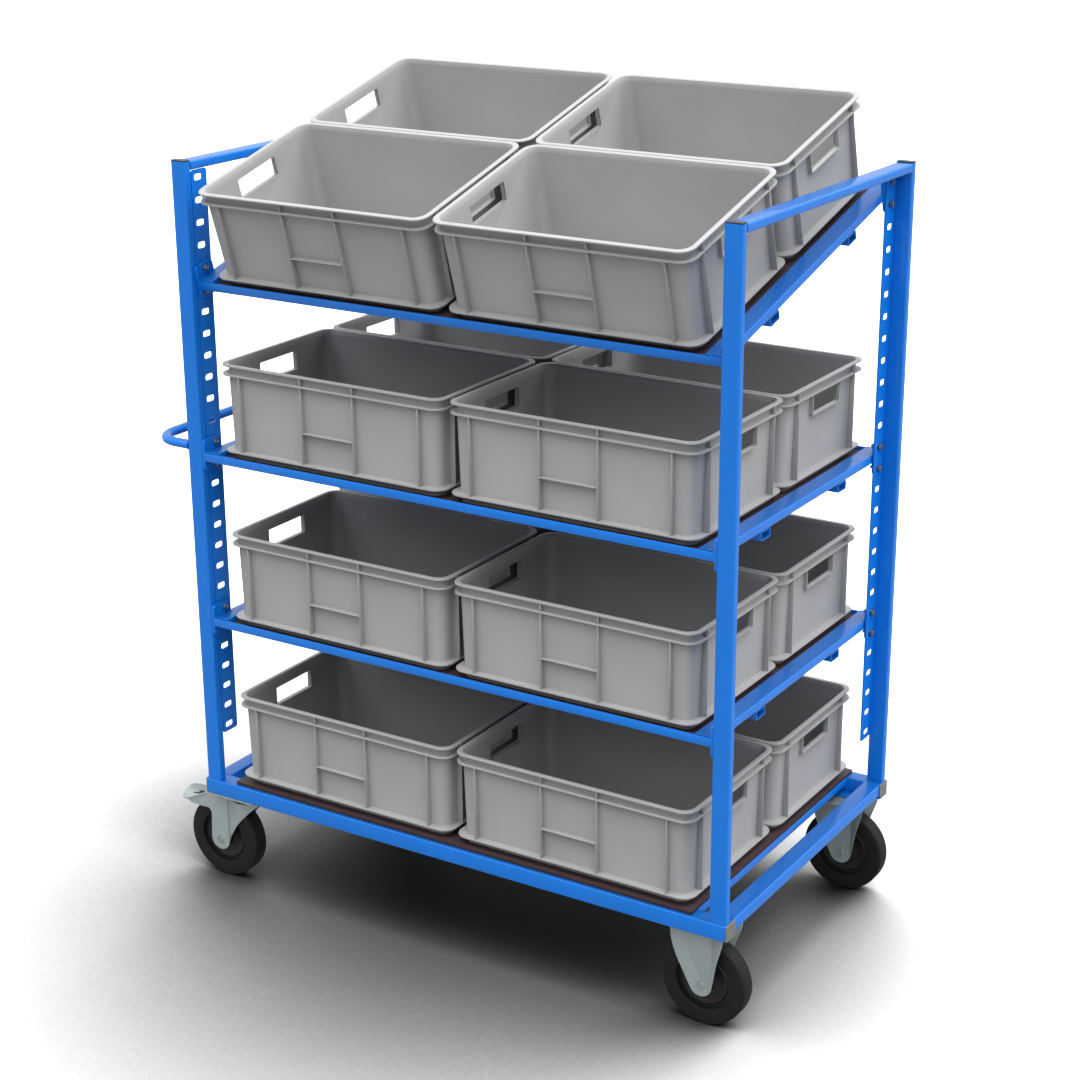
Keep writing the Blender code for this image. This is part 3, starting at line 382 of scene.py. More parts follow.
class Finish:
    """A procedural material: tone, roughness and relief each from their own noise."""

    def __init__(self, name, colour, roughness, metallic=0.0):
        self.material = bpy.data.materials.new(name)
        self.material.use_nodes = True
        self.nodes = self.material.node_tree.nodes
        self.links = self.material.node_tree.links
        self.shader = self.nodes["Principled BSDF"]
        self.colour = colour
        self.roughness = roughness
        self.shader.inputs["Metallic"].default_value = metallic
        self.place = self.nodes.new("ShaderNodeTexCoord").outputs["Object"]

    def noise(self, scale, detail=3.0, roughness=0.55, stretch=None):
        node = self.nodes.new("ShaderNodeTexNoise")
        node.inputs["Scale"].default_value = scale
        node.inputs["Detail"].default_value = detail
        node.inputs["Roughness"].default_value = roughness
        source = self.place
        if stretch:
            mapping = self.nodes.new("ShaderNodeMapping")
            mapping.inputs["Scale"].default_value = stretch
            self.links.new(source, mapping.inputs["Vector"])
            source = mapping.outputs["Vector"]
        self.links.new(source, node.inputs["Vector"])
        return node.outputs["Fac"]

    def cells(self, scale):
        node = self.nodes.new("ShaderNodeTexVoronoi")
        node.inputs["Scale"].default_value = scale
        self.links.new(self.place, node.inputs["Vector"])
        grey = self.nodes.new("ShaderNodeRGBToBW")
        self.links.new(node.outputs["Color"], grey.inputs["Color"])
        return grey.outputs["Val"]

    def ranged(self, source, low, high, start=0.3, end=0.7):
        node = self.nodes.new("ShaderNodeMapRange")
        for name, value in (("From Min", start), ("From Max", end), ("To Min", low), ("To Max", high)):
            node.inputs[name].default_value = value
        self.links.new(source, node.inputs["Value"])
        return node.outputs["Result"]

    def mixed(self, factor, first, second):
        """A colour between two; each is a colour or an output."""
        node = self.nodes.new("ShaderNodeMix")
        node.data_type = "RGBA"
        for socket, value in ((node.inputs[6], first), (node.inputs[7], second)):
            if isinstance(value, (list, tuple)):
                socket.default_value = (*value, 1.0)
            else:
                self.links.new(value, socket)
        self.links.new(factor, node.inputs[0])
        return node.outputs[2]

    def tone(self, source, spread):
        """The base colour, a share darker to a share lighter with the source."""
        darker = [value * (1 - spread) for value in self.colour]
        lighter = [min(value * (1 + spread), 1.0) for value in self.colour]
        return self.mixed(self.ranged(source, 0.0, 1.0), darker, lighter)

    def paint(self, output):
        self.links.new(output, self.shader.inputs["Base Color"])

    def polish(self, source, spread):
        rough = self.ranged(source, self.roughness - spread, self.roughness + spread)
        self.links.new(rough, self.shader.inputs["Roughness"])

    def relief(self, source, depth, share):
        node = self.nodes.new("ShaderNodeBump")
        node.inputs["Strength"].default_value = share
        node.inputs["Distance"].default_value = depth
        self.links.new(source, node.inputs["Height"])
        self.links.new(node.outputs["Normal"], self.shader.inputs["Normal"])

    def normal_z(self):
        geometry = self.nodes.new("ShaderNodeNewGeometry")
        parts = self.nodes.new("ShaderNodeSeparateXYZ")
        self.links.new(geometry.outputs["Normal"], parts.inputs["Vector"])
        return parts.outputs["Z"]

    def top_shaded(self, upright, share):
        """A colour with painted shade on faces that look up: darker there, down to a share of it."""
        level = [value * share for value in self.colour]
        return self.mixed(self.ranged(self.normal_z(), 0.0, 1.0, *LOOKS_UP), upright, level)


def blue_powder():
    finish = Finish("blue_powder_coat", linear(8, 120, 222), 0.38)
    # Painted shade on the blue paint's upward faces.
    finish.paint(finish.top_shaded(finish.tone(finish.noise(5.0), 0.04), TOP_SHADE_SHARE))
    finish.polish(finish.noise(25.0), 0.04)
    finish.relief(finish.noise(900.0, 2.0), 0.00003, 0.1)
    finish.shader.inputs["Specular IOR Level"].default_value = 0.2
    finish.shader.inputs["Coat Weight"].default_value = 0.45
    finish.shader.inputs["Coat Roughness"].default_value = 0.06
    return finish.material


def crate_plastic():
    finish = Finish("crate_plastic", linear(160, 160, 160), 0.46)
    # Painted shade on the crate's upward faces, such as rims and floors.
    finish.paint(finish.top_shaded(finish.tone(finish.noise(9.0, 4.0), 0.035), CRATE_TOP_SHADE_SHARE))
    finish.polish(finish.noise(30.0), 0.05)
    finish.relief(finish.noise(1500.0, 2.0), 0.00010, 0.3)
    return finish.material


def zinc_plate():
    finish = Finish("zinc_plate", linear(172, 184, 184), 0.46, 0.45)
    spangle = finish.noise(220.0, 5.0, 0.7, (1.0, 1.0, 0.25))
    # Painted shade on the zinc's upward faces, such as the pedal's top.
    finish.paint(finish.top_shaded(finish.tone(spangle, 0.07), TOP_SHADE_SHARE))
    finish.polish(finish.noise(90.0), 0.05)
    finish.relief(finish.noise(900.0), 0.00005, 0.2)
    return finish.material


def hardboard():
    finish = Finish("brown_hardboard", linear(58, 42, 44), 0.55)
    finish.shader.inputs["Specular IOR Level"].default_value = 0.3
    finish.paint(finish.tone(finish.noise(25.0, 6.0, 0.6, (1.0, 2.5, 1.0)), 0.16))
    finish.polish(finish.noise(60.0), 0.08)
    finish.relief(finish.cells(420.0), 0.0003, 0.5)
    return finish.material


def rubber():
    finish = Finish("black_rubber", linear(17, 17, 18), 0.62)
    finish.shader.inputs["Specular IOR Level"].default_value = 0.3
    finish.paint(finish.tone(finish.noise(30.0, 4.0), 0.18))
    finish.polish(finish.noise(60.0), 0.08)
    finish.relief(finish.noise(900.0), 0.0002, 0.4)
    return finish.material


def moulded(name, colour, roughness):
    finish = Finish(name, colour, roughness)
    finish.paint(finish.tone(finish.noise(40.0), 0.10))
    finish.polish(finish.noise(90.0), 0.06)
    finish.relief(finish.noise(1600.0), 0.0001, 0.35)
    return finish.material


def bright_steel():
    finish = Finish("bolt_steel", linear(140, 148, 156), 0.30, 0.9)
    finish.paint(finish.tone(finish.noise(300.0), 0.2))
    finish.polish(finish.noise(500.0), 0.08)
    finish.relief(finish.noise(1200.0), 0.0001, 0.3)
    return finish.material


BLUE = blue_powder()
GREY = crate_plastic()
ZINC = zinc_plate()
BOARD = hardboard()
RUBBER = rubber()
CORE = moulded("wheel_core_plastic", linear(13, 13, 14), 0.5)
BLACK = moulded("black_cap_plastic", linear(44, 48, 54), 0.4)
CAP_GREY = moulded("grey_cap_plastic", linear(116, 116, 110), 0.5)
STEEL = bright_steel()


# Base frame


def build_base():
    rail_y = BASE_DEPTH / 2 - RAIL_WIDTH / 2
    rail_z = BASE_TOP - RAIL_HEIGHT / 2
    length = BASE_LENGTH - 2 * RAIL_CAP_THICKNESS - 2 * SEAT
    for end, sign in ENDS.items():
        form = bmesh.new()
        tube(form, RAIL_WIDTH, RAIL_HEIGHT, RAIL_ROUND, RAIL_WALL, length, ALONG_X)
        plate_length, reach, thick = CORNER_PLATE
        for hand in SIDES.values():
            low_y, high_y = one_side(-sign, RAIL_WIDTH / 2 - RAIL_WALL, RAIL_WIDTH / 2 + reach)
            low_x, low_z = hand * CASTER_X - plate_length / 2, -RAIL_HEIGHT / 2
            bar(form, (low_x, low_y, low_z), (low_x + plate_length, high_y, low_z + thick), thick / 4)
        painted(f"rail_{end}", mesh_of(form, f"rail_{end}", BLUE), f"base_{end}_rail",
                at(0, sign * rail_y, rail_z))
        for side, hand in SIDES.items():
            form = bmesh.new()
            turn = ALONG_X if hand > 0 else Matrix.Rotation(math.pi, 4, "Z") @ ALONG_X
            prism(form, rounded(RAIL_WIDTH, RAIL_HEIGHT, RAIL_ROUND), 0, RAIL_CAP_THICKNESS,
                  RAIL_CAP_THICKNESS / 4, turn)
            inner = RAIL_WIDTH - 2 * RAIL_WALL - 2 * SEAT
            plug = rounded(inner, inner - RAIL_WIDTH + RAIL_HEIGHT, RAIL_ROUND / 2)
            prism(form, plug, -4 * RAIL_CAP_THICKNESS, RAIL_CAP_THICKNESS / 2, 0, turn)
            piece(f"end_cap_{end}_{side}", mesh_of(form, "end_cap", CAP_GREY), "trolley",
                  [f"rail_cap_{end}_{side}"], at(hand * (length / 2 + SEAT), sign * rail_y, rail_z))
    between = BASE_DEPTH - 2 * RAIL_WIDTH - 2 * SEAT
    end_x = BASE_LENGTH / 2 - END_TUBE[0] / 2 - RAIL_CAP_THICKNESS
    cross_x = SHELF_OUTER_X - SHELF_TUBE[0] - SEAT - CROSS_TUBE[0] / 2
    stations = [(f"end_tube_{side}", hand * end_x, END_TUBE) for side, hand in SIDES.items()]
    stations += [(f"cross_member_{side}", hand * cross_x, CROSS_TUBE) for side, hand in SIDES.items()]
    stations.append(("cross_member_centre", 0, CROSS_TUBE))
    for name, x, (width, height) in stations:
        form = bmesh.new()
        tube(form, height, width, RAIL_ROUND, RAIL_WALL, between, ALONG_Y)
        painted(name, mesh_of(form, name, BLUE), f"base_{name}", at(x, 0, BASE_TOP - height / 2))
    low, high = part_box("base_panel")
    form = bmesh.new()
    bar(form, -(high - low) / 2, (high - low) / 2, PANEL_THICKNESS / 8)
    piece("base_board", mesh_of(form, "base_board", BOARD), "trolley", ["base_panel"],
          at(0, 0, (low.z + high.z) / 2))


# Side frames


def strip_mesh():
    """A flat bar with a ladder of rounded slots, built cell by cell about the top slot."""
    form = bmesh.new()
    steps = 4
    slot = rounded(*SLOT_SIZE, SLOT_ROUND, steps)
    near, far = -SLOT_FROM_POST, STRIP_WIDTH - SLOT_FROM_POST
    half = STRIP_THICKNESS / 2
    for number in range(SLOT_COUNT):
        middle = -SLOT_PITCH * number
        top = STRIP_END if number == 0 else SLOT_PITCH / 2
        bottom = STRIP_END if number == SLOT_COUNT - 1 else SLOT_PITCH / 2
        frame_points = []
        for turn, (right, up) in enumerate(((1, 1), (0, 1), (0, 0), (1, 0))):
            corner = Vector((far if right else near, top if up else -bottom))
            round_corner = (up and number == 0) or (not up and number == SLOT_COUNT - 1)
            centre = corner - STRIP_CORNER * Vector((1 if right else -1, 1 if up else -1))
            for step in range(steps + 1):
                angle = math.radians(90.0) * (turn + step / steps)
                reach = Vector((math.cos(angle), math.sin(angle))) * STRIP_CORNER
                if not round_corner:
                    reach /= max(abs(math.cos(angle)), abs(math.sin(angle)))
                frame_points.append(centre + reach)
        rings = []
        for height in (half, -half):
            rings.append(([form.verts.new((x, y + middle, height)) for x, y in slot],
                          [form.verts.new((p.x, p.y + middle, height)) for p in frame_points]))
        (slot_up, edge_up), (slot_down, edge_down) = rings
        count = len(slot)
        for index in range(count):
            after = (index + 1) % count
            form.faces.new((edge_up[index], edge_up[after], slot_up[after], slot_up[index]))
            form.faces.new((slot_down[index], slot_down[after], edge_down[after], edge_down[index]))
            form.faces.new((slot_up[index], slot_up[after], slot_down[after], slot_down[index]))
            first, second = frame_points[index], frame_points[after]
            shared_top = number > 0 and min(first.y, second.y) > top - SEAT
            shared_bottom = number < SLOT_COUNT - 1 and max(first.y, second.y) < SEAT - bottom
            if not (shared_top or shared_bottom):
                form.faces.new((edge_down[index], edge_down[after], edge_up[after], edge_up[index]))
    bmesh.ops.remove_doubles(form, verts=form.verts, dist=SEAT / 10)
    moved(form, form.verts, ALONG_X)
    return mesh_of(form, "strip", BLUE)


def build_side_frames():
    strip_data = strip_mesh()
    post_x = POST_OUTER_X - POST_WIDTH / 2
    for side, hand in SIDES.items():
        form = bmesh.new()
        for sign in ENDS.values():
            tube(form, POST_WIDTH, POST_DEPTH, POST_ROUND, POST_WALL, POST_TOP - POST_BOTTOM,
                 at(hand * post_x, sign * POST_MIDDLE_Y, (POST_TOP + POST_BOTTOM) / 2))
        span = 2 * (POST_MIDDLE_Y - POST_DEPTH / 2 - POST_JOINT)
        tube(form, TOP_TUBE_HEIGHT, POST_WIDTH, POST_ROUND, POST_WALL, span,
             at(hand * post_x, 0, POST_TOP - TOP_TUBE_HEIGHT / 2) @ ALONG_Y)
        for sign in ENDS.values():
            weld_y = sign * (POST_MIDDLE_Y - POST_DEPTH / 2)
            half = POST_WIDTH * WELD_WIDTH_SHARE
            low_z, high_z = (POST_TOP - TOP_TUBE_HEIGHT * share for share in WELD_HEIGHT_SHARES)
            bar(form, (hand * post_x - half, weld_y - 2 * POST_JOINT, low_z),
                (hand * post_x + half, weld_y + 2 * POST_JOINT, high_z), POST_JOINT / 2)
        painted(f"posts_{side}", mesh_of(form, f"posts_{side}", BLUE), f"side_frame_{side}")
        for end, sign in ENDS.items():
            turn = Matrix.Rotation(math.radians(90.0 * (sign + 1)), 4, "Z")
            place = at(hand * (STRIP_INNER_X + STRIP_THICKNESS / 2), sign * (SLOT_Y - SEAT), FIRST_SLOT)
            painted(f"strip_{end}_{side}", strip_data, f"slotted_strip_{end}_{side}", place @ turn)
            form = bmesh.new()
            prism(form, rounded(POST_WIDTH, POST_DEPTH, POST_ROUND, 5), 0, CAP_HEIGHT, CAP_HEIGHT / 3)
            prism(form, rounded(POST_WIDTH - 3 * POST_WALL, POST_DEPTH - 3 * POST_WALL, POST_WALL / 2),
                  -3 * CAP_HEIGHT, CAP_HEIGHT / 2)
            piece(f"cap_{end}_{side}", mesh_of(form, "cap", BLACK), "trolley",
                  [f"post_cap_{end}_{side}"], at(hand * post_x, sign * POST_MIDDLE_Y, POST_TOP + SEAT))


def build_handle():
    """The bent tube, swept as a smooth U."""
    near = -POST_OUTER_X - SEAT
    path = [(near, -POST_MIDDLE_Y)]
    for sign, start in ((-1, 270.0), (1, 180.0)):
        x, y = near - HANDLE_REACH + HANDLE_BEND, sign * (POST_MIDDLE_Y - HANDLE_BEND)
        for step in range(HANDLE_BEND_STEPS + 1):
            angle = math.radians(start - 90.0 * step / HANDLE_BEND_STEPS)
            path.append((x + HANDLE_BEND * math.cos(angle), y + HANDLE_BEND * math.sin(angle)))
    path.append((near, POST_MIDDLE_Y))
    rings = []
    for (x, y), ahead in zip(path, headings(path)):
        rings.append([(x - ahead.y * out, y + ahead.x * out, HANDLE_Z + up)
                      for out, up in disc(HANDLE_RADIUS, HANDLE_STEPS)])
    form = bmesh.new()
    loft(form, rings)
    bead = [(HANDLE_RADIUS * share, height) for share, height in BEAD_PROFILE]
    for sign in ENDS.values():
        place = at(near, sign * POST_MIDDLE_Y, HANDLE_Z) @ Matrix.Rotation(-math.pi / 2, 4, "Y")
        turned(form, bead, HANDLE_STEPS, place)
    painted("handle", mesh_of(form, "handle", BLUE), "push_handle")


# Shelves


def shelf_mesh():
    """Rails, side tubes, support tubes and tabs of one shelf, welded together."""
    form = bmesh.new()
    width, height = SHELF_TUBE
    half = height / 2
    for sign in ENDS.values():
        low_y, high_y = one_side(sign, SHELF_HALF_DEPTH, SHELF_HALF_DEPTH - ANGLE_THICKNESS)
        bottom = -half - ANGLE_THICKNESS
        bar(form, (-SHELF_OUTER_X, low_y, bottom), (SHELF_OUTER_X, high_y, bottom + ANGLE_HEIGHT),
            ANGLE_THICKNESS * 0.3)
        low_y, high_y = one_side(sign, SHELF_HALF_DEPTH - ANGLE_THICKNESS / 2, SHELF_HALF_DEPTH - ANGLE_LEG)
        bar(form, (-SHELF_OUTER_X, low_y, bottom), (SHELF_OUTER_X, high_y, -half), ANGLE_THICKNESS * 0.3)
    tube_length = 2 * (SHELF_HALF_DEPTH - ANGLE_THICKNESS * 0.7)
    for hand in SIDES.values():
        tube(form, height, width, SHELF_TUBE_ROUND, SHELF_TUBE_WALL, tube_length,
             at(hand * (SHELF_OUTER_X - width / 2), 0, 0) @ ALONG_Y)
    for sign in ENDS.values():
        tube(form, width, height, SHELF_TUBE_ROUND, SHELF_TUBE_WALL, 2 * SHELF_OUTER_X,
             at(0, sign * SUPPORT_SPREAD / 2, -height) @ ALONG_X)
    tab_width, tab_height, thick = TAB
    for sign in ENDS.values():
        middle = sign * (SHELF_HALF_DEPTH + SEAT - tab_width / 2)
        for hand in SIDES.values():
            low, high = one_side(hand, SHELF_OUTER_X - thick / 2, SHELF_OUTER_X + thick / 2)
            outline = [(y + middle, z) for y, z in rounded(tab_width, tab_height, TAB_CORNER, 6)]
            prism(form, outline, low, high, thick / 8, ALONG_X)
    return mesh_of(form, "shelf", BLUE)


def hexagon(across):
    """A hexagon of one width over its flats, with its corners just taken off."""
    radius = across / math.sqrt(3.0)
    angles = [math.radians(60.0 * step + 30.0) for step in range(6)]
    corners = [(radius * math.cos(angle), radius * math.sin(angle)) for angle in angles]
    return filleted(corners, across * 0.06, 2)


# A shelf bolt along Z, its grip centred on zero: diameters and lengths
BOLT = {"grip": 0.0062, "washer": (0.0175, 0.0015), "hex": 0.0145, "head": 0.0058, "nut": 0.0070,
        "thread": 0.0082, "end": 0.0140}


def bolt_mesh():
    """Hex head and washer on the outside, washer, nut and thread end on the inside."""
    form = bmesh.new()
    radius, thick = BOLT["washer"][0] / 2, BOLT["washer"][1]
    outside = BOLT["grip"] / 2
    for sign in (-1, 1):
        low, high = one_side(sign, outside, outside + thick)
        prism(form, disc(radius), low, high, thick / 5)
    prism(form, hexagon(BOLT["hex"]), outside + thick, outside + thick + BOLT["head"], BOLT["head"] / 8)
    prism(form, hexagon(BOLT["hex"]), -outside - thick - BOLT["nut"], -outside - thick, BOLT["nut"] / 8)
    prism(form, disc(BOLT["thread"] / 2), -outside - BOLT["end"], outside, BOLT["thread"] / 8)
    return mesh_of(form, "shelf_bolt", STEEL)


def shelf_stations():
    """The middle height and tilt of each shelf, from the slots that take its upper bolts."""
    stations = {}
    for name, (front, rear) in SHELF_SLOTS.items():
        height = FIRST_SLOT - SLOT_PITCH * (front + rear + 1) / 2
        rise = SLOT_PITCH * (front - rear)
        tilt = math.asin((rise - TILT_SLACK) / (2 * SLOT_Y)) if rise else 0
        stations[name] = at(0, 0, height) @ Matrix.Rotation(tilt, 4, "X")
    return stations


def build_shelves():
    data = shelf_mesh()
    bolt = bolt_mesh()
    low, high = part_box("shelf_panel_lower")
    size = high - low
    form = bmesh.new()
    bar(form, -size / 2, size / 2, PANEL_THICKNESS / 8)
    board = mesh_of(form, "shelf_board", BOARD)
    board_z = SEAT - SHELF_TUBE[1] / 2 + PANEL_THICKNESS / 2
    for name, station in shelf_stations().items():
        painted(f"shelf_{name}", data, f"shelf_frame_{name}", station)
        piece(f"board_{name}", board, "trolley", [f"shelf_panel_{name}"],
              station @ at(0, 0, board_z))
        for (end, sign), slot in zip(ENDS.items(), SHELF_SLOTS[name]):
            for side, hand in SIDES.items():
                turn = Matrix.Rotation(hand * math.pi / 2, 4, "Y")
                for row in (0, 1):
                    spot = f"{name}_{end}_{side}_{row + 1}"
                    place = at(hand * STRIP_INNER_X, sign * SLOT_Y, FIRST_SLOT - SLOT_PITCH * (slot + row))
                    piece(f"bolt_{spot}", bolt, "trolley", matrix=place @ turn)


# Crates


def crate_ring(inset, height):
    inset *= MM
    corner = CRATE_CORNER - inset / 2
    outline = rounded(CRATE_LENGTH - 2 * inset, CRATE_WIDTH - 2 * inset, corner, CRATE_STEPS)
    return [(x, y, height * MM) for x, y in outline]


def crate_rib(form, profile, low, high, edge, side):
    """A rib in millimetres: its (distance from the middle, height) profile on one side, low to high."""
    axis, sign = side
    rings = []
    for along in (low, high):
        points = [(along, sign * away, height) if axis == "y" else (sign * away, along, height)
                  for away, height in profile]
        rings.append([[value * MM for value in point] for point in points])
    made = loft(form, rings)
    bmesh.ops.recalc_face_normals(form, faces=list({face for vertex in made for face in vertex.link_faces}))
    eased(form, made, edge * MM)


def crate_mesh():
    form = bmesh.new()
    loft(form, [crate_ring(*level) for level in CRATE_OUTSIDE + CRATE_INSIDE])
    shell = mesh_of(form, "crate_shell", GREY)
    hole = {key: value * MM for key, value in CRATE_HOLE.items()}
    middle = hole["top"] - hole["height"] / 2
    outline = [(y, z + middle) for y, z in rounded(hole["width"], hole["height"], hole["corner"], 6)]
    holes = bmesh.new()
    for hand in SIDES.values():
        low, high = one_side(hand, CRATE_LENGTH / 2 - hole["inward"], CRATE_LENGTH / 2 + hole["outward"])
        prism(holes, outline, low, high, 0, ALONG_X)
    shell = cut(shell, holes, "hand_holes")
    form = bmesh.new()
    form.from_mesh(shell)
    add_crate_ribs(form)
    add_crate_pockets(form)
    add_rim_marks(form)
    return mesh_of(form, "crate", GREY, CRATE_SHARP_DEGREES)


def wall_inset(height):
    """How far inside the rim's outline a rib's root lies, in the wall, at a height."""
    (low_inset, low), (high_inset, high) = CRATE_WALL
    return low_inset + (high_inset - low_inset) * (height - low) / (high - low)


def add_crate_ribs(form):
    half = CRATE_RIB / 2
    low_z, high_z = (level for _, level in CRATE_WALL)
    neck_inset, neck_low, neck_high = CRATE_NECK
    reaches = {"y": CRATE_WIDTH / MM / 2, "x": CRATE_LENGTH / MM / 2}

    def profile(axis, low, high):
        roots = (neck_inset, neck_inset) if low > high_z else (wall_inset(low), wall_inset(high))
        reach = reaches[axis]
        front = reach - CRATE_RIB_SETBACK
        return [(front, low), (front, high), (reach - roots[1], high), (reach - roots[0], low)]

    def upright(side, low, high, centre, edge):
        crate_rib(form, profile(side[0], low, high), centre - half, centre + half, edge, side)

    outer, middle = CRATE_RIBS
    for sign in ENDS.values():
        side = ("y", sign)
        for hand in SIDES.values():
            for spread in (outer, middle):
                upright(side, low_z, high_z, hand * spread, CRATE_RIB_EDGE)
            upright(side, neck_low, neck_high, hand * middle, CRATE_NECK_RIB_EDGE)
        label = profile("y", CRATE_LABEL_RIB_Z, CRATE_LABEL_RIB_Z + CRATE_RIB)
        crate_rib(form, label, -middle, middle, CRATE_RIB_EDGE, side)
    for hand in SIDES.values():
        side = ("x", hand)
        for sign in ENDS.values():
            upright(side, low_z, high_z, sign * CRATE_END_RIB, CRATE_RIB_EDGE)
            upright(side, neck_low, neck_high, sign * CRATE_END_RIB, CRATE_NECK_RIB_EDGE)


def add_crate_pockets(form):
    """The U-shaped frame that stands round each hand hole, outside."""
    width, bottom, radius, thick, setback = CRATE_POCKET.values()
    top = CRATE_WALL[1][1]
    reach = CRATE_LENGTH / MM / 2
    path = [(-width / 2, top)]
    for sign, start in ((-1, 180.0), (1, 270.0)):
        for step in range(7):
            angle = math.radians(start + 90.0 * step / 6)
            path.append((sign * (width / 2 - radius) + radius * math.cos(angle),
                         bottom + radius + radius * math.sin(angle)))
    path.append((width / 2, top))
    for hand in SIDES.values():
        rings = []
        for point, ahead in zip(path, headings(path)):
            out = Vector((ahead.y, -ahead.x)) * thick / 2
            outer_x = hand * (reach - setback)
            inner_x = hand * (reach - wall_inset(point[1]))
            corners = [(outer_x, out), (inner_x, out), (inner_x, -out), (outer_x, -out)]
            rings.append([(x * MM, (point[0] + o.x) * MM, (point[1] + o.y) * MM) for x, o in corners])
        loft(form, rings)


def add_rim_marks(form):
    """Small raised ovals on the rim near the corners."""
    mark = {key: value * MM for key, value in CRATE_MARK.items()}
    outline = [(x * mark["long"], y * mark["wide"]) for x, y in disc(1.0, 20)]
    for hand in SIDES.values():
        for sign in ENDS.values():
            centre = at(hand * mark["x"], sign * (CRATE_WIDTH / 2 - mark["inset"]), 0)
            prism(form, outline, mark["low"], mark["high"], mark["edge"], centre)


def build_crates():
    data = crate_mesh()
    base_z = BASE_TOP + SEAT + PANEL_THICKNESS + SEAT
    shelf_z = SEAT - SHELF_TUBE[1] / 2 + PANEL_THICKNESS + SEAT
    levels = {"base": at(0, 0, base_z)}
    for name, station in shelf_stations().items():
        levels[name] = station @ at(0, 0, shelf_z)
    spots = [(end, sign, side, hand) for end, sign in ENDS.items() for side, hand in SIDES.items()]
    for level, station in levels.items():
        for (end, sign, side, hand), (aside, back) in zip(spots, CRATE_SHIFTS[level]):
            place = at(hand * (CRATE_LENGTH + CRATE_GAPS[0]) / 2 + aside,
                       sign * (CRATE_WIDTH + CRATE_GAPS[1]) / 2 + back, 0)
            name = f"crate_{level}_{end}_{side}"
            piece(f"{name}_moulding", data, f"{name}_body", [name], station @ place)


# Casters


TYRE_PROFILE = [(65.0, 17.5), (66.5, 19.6), (68.5, 20.0), (94.5, 20.0), (97.4, 19.4), (99.3, 17.6),
                (100.0, 15.0), (100.0, 0.0)]
CORE_PROFILE = [(8.6, 28.0), (20.0, 28.0), (22.4, 27.0), (23.0, 25.0), (24.0, 13.0), (28.0, 11.0),
                (46.0, 10.5), (50.0, 12.5), (54.0, 12.5), (57.0, 10.0), (63.0, 9.5), (67.0, 9.5)]
WHEEL_STEPS = 72


def wheel_mesh(half, name, finish):
    """A part of the wheel, turned from one half of its profile in millimetres."""
    rows = [(radius * MM, height * MM) for radius, height in half]
    rows += [(radius, -height) for radius, height in reversed(rows) if height > 0]
    form = bmesh.new()
    turned(form, rows, WHEEL_STEPS, ABOUT_AXLE)
    return mesh_of(form, name, finish)


def axle_arc(radius, start, end, steps):
    """Points on an arc about the axle, seen from the side, between two angles in degrees."""
    angles = [math.radians(start + (end - start) * step / steps) for step in range(steps + 1)]
    return [(radius * math.cos(angle), WHEEL_RADIUS + radius * math.sin(angle)) for angle in angles]


BRACKET_LEFT = [(-0.27, -0.05), (-0.38, 0.16), (-0.55, 0.47), (-0.64, 0.68), (-0.71, 0.90), (-0.74, 1.12)]
BRACKET_RIGHT = [(0.563, 1.12), (0.402, 0.62), (0.321, 0.18)]
BRACKET_CREASE = 0.24
SWIVEL_LEFT = [(-0.265, 0.00), (-0.24, 0.66), (-0.31, 0.76), (-0.60, 0.74), (-0.60, 0.86), (-0.40, 1.04)]
SWIVEL_RIGHT = [(1.10, 1.08), (0.98, 0.98), (0.78, 0.80), (0.49, 0.46), (0.31, 0.13)]
BRACKET_TOP = [(0.60, 1.32), (-0.74, 1.32)]
SWIVEL_TOP = [(1.12, 1.085), (0.42, 1.085), (0.27, 1.21), (-0.36, 1.21)]
FLARE = {"fixed": -0.43, "swivel": 0.25}
CREASE_WIDTH = 0.004
CREASE_DEPTH = 0.0012
LEG_TIP_ARC = (200.0, 345.0, 12)
LEG_CORNER = 0.012
LEG_CORNER_STEPS = 5
LEG_EDGE = 0.0006


def leg_outline(left, right, top):
    """A fork leg from three lists of shares of the wheel's radius about its axle."""
    upper = [(x * WHEEL_RADIUS, WHEEL_RADIUS + z * WHEEL_RADIUS)
             for x, z in [*reversed(right), *top, *reversed(left)]]
    tip = axle_arc(FORK_TIP, *LEG_TIP_ARC)
    whole = filleted([tip[0], tip[-1], *upper], LEG_CORNER, LEG_CORNER_STEPS)
    return tip + whole[2 * (LEG_CORNER_STEPS + 1):]


def leg_plates(form, outline, crease, flare):
    """Two fork legs, folded beyond the crease towards the wheel, or away where flare is negative."""
    for sign in (-1, 1):
        flat = bmesh.new()
        flat.faces.new([flat.verts.new((x, 0, z)) for x, z in outline])
        for offset in (0, CREASE_WIDTH / 2, CREASE_WIDTH):
            bmesh.ops.bisect_plane(flat, geom=[*flat.verts, *flat.edges, *flat.faces],
                                   plane_co=(crease + offset, 0, 0), plane_no=(1, 0, 0))
        made = bmesh.ops.extrude_face_region(flat, geom=list(flat.faces))
        outer = {part for part in made["geom"] if isinstance(part, bmesh.types.BMVert)}
        for vertex in flat.verts:
            past = max(vertex.co.x - crease, 0)
            fold = past * flare
            if abs(past - CREASE_WIDTH / 2) < SEAT:
                fold += CREASE_DEPTH
            depth = FORK_THICKNESS if vertex in outer else 0
            vertex.co.y = sign * (FORK_GAP / 2 + depth - fold)
        rim = [edge for edge in flat.edges if edge.is_manifold and edge.calc_face_angle(0) > 1.0]
        bmesh.ops.bevel(flat, geom=rim, offset=LEG_EDGE, segments=1, affect="EDGES")
        bmesh.ops.recalc_face_normals(flat, faces=flat.faces)
        data = bpy.data.meshes.new("leg")
        flat.to_mesh(data)
        flat.free()
        form.from_mesh(data)
        bpy.data.meshes.remove(data)


AXLE = {"shank": 0.0155, "rim": 0.0098, "mouth": 0.0072, "proud": 0.0034}


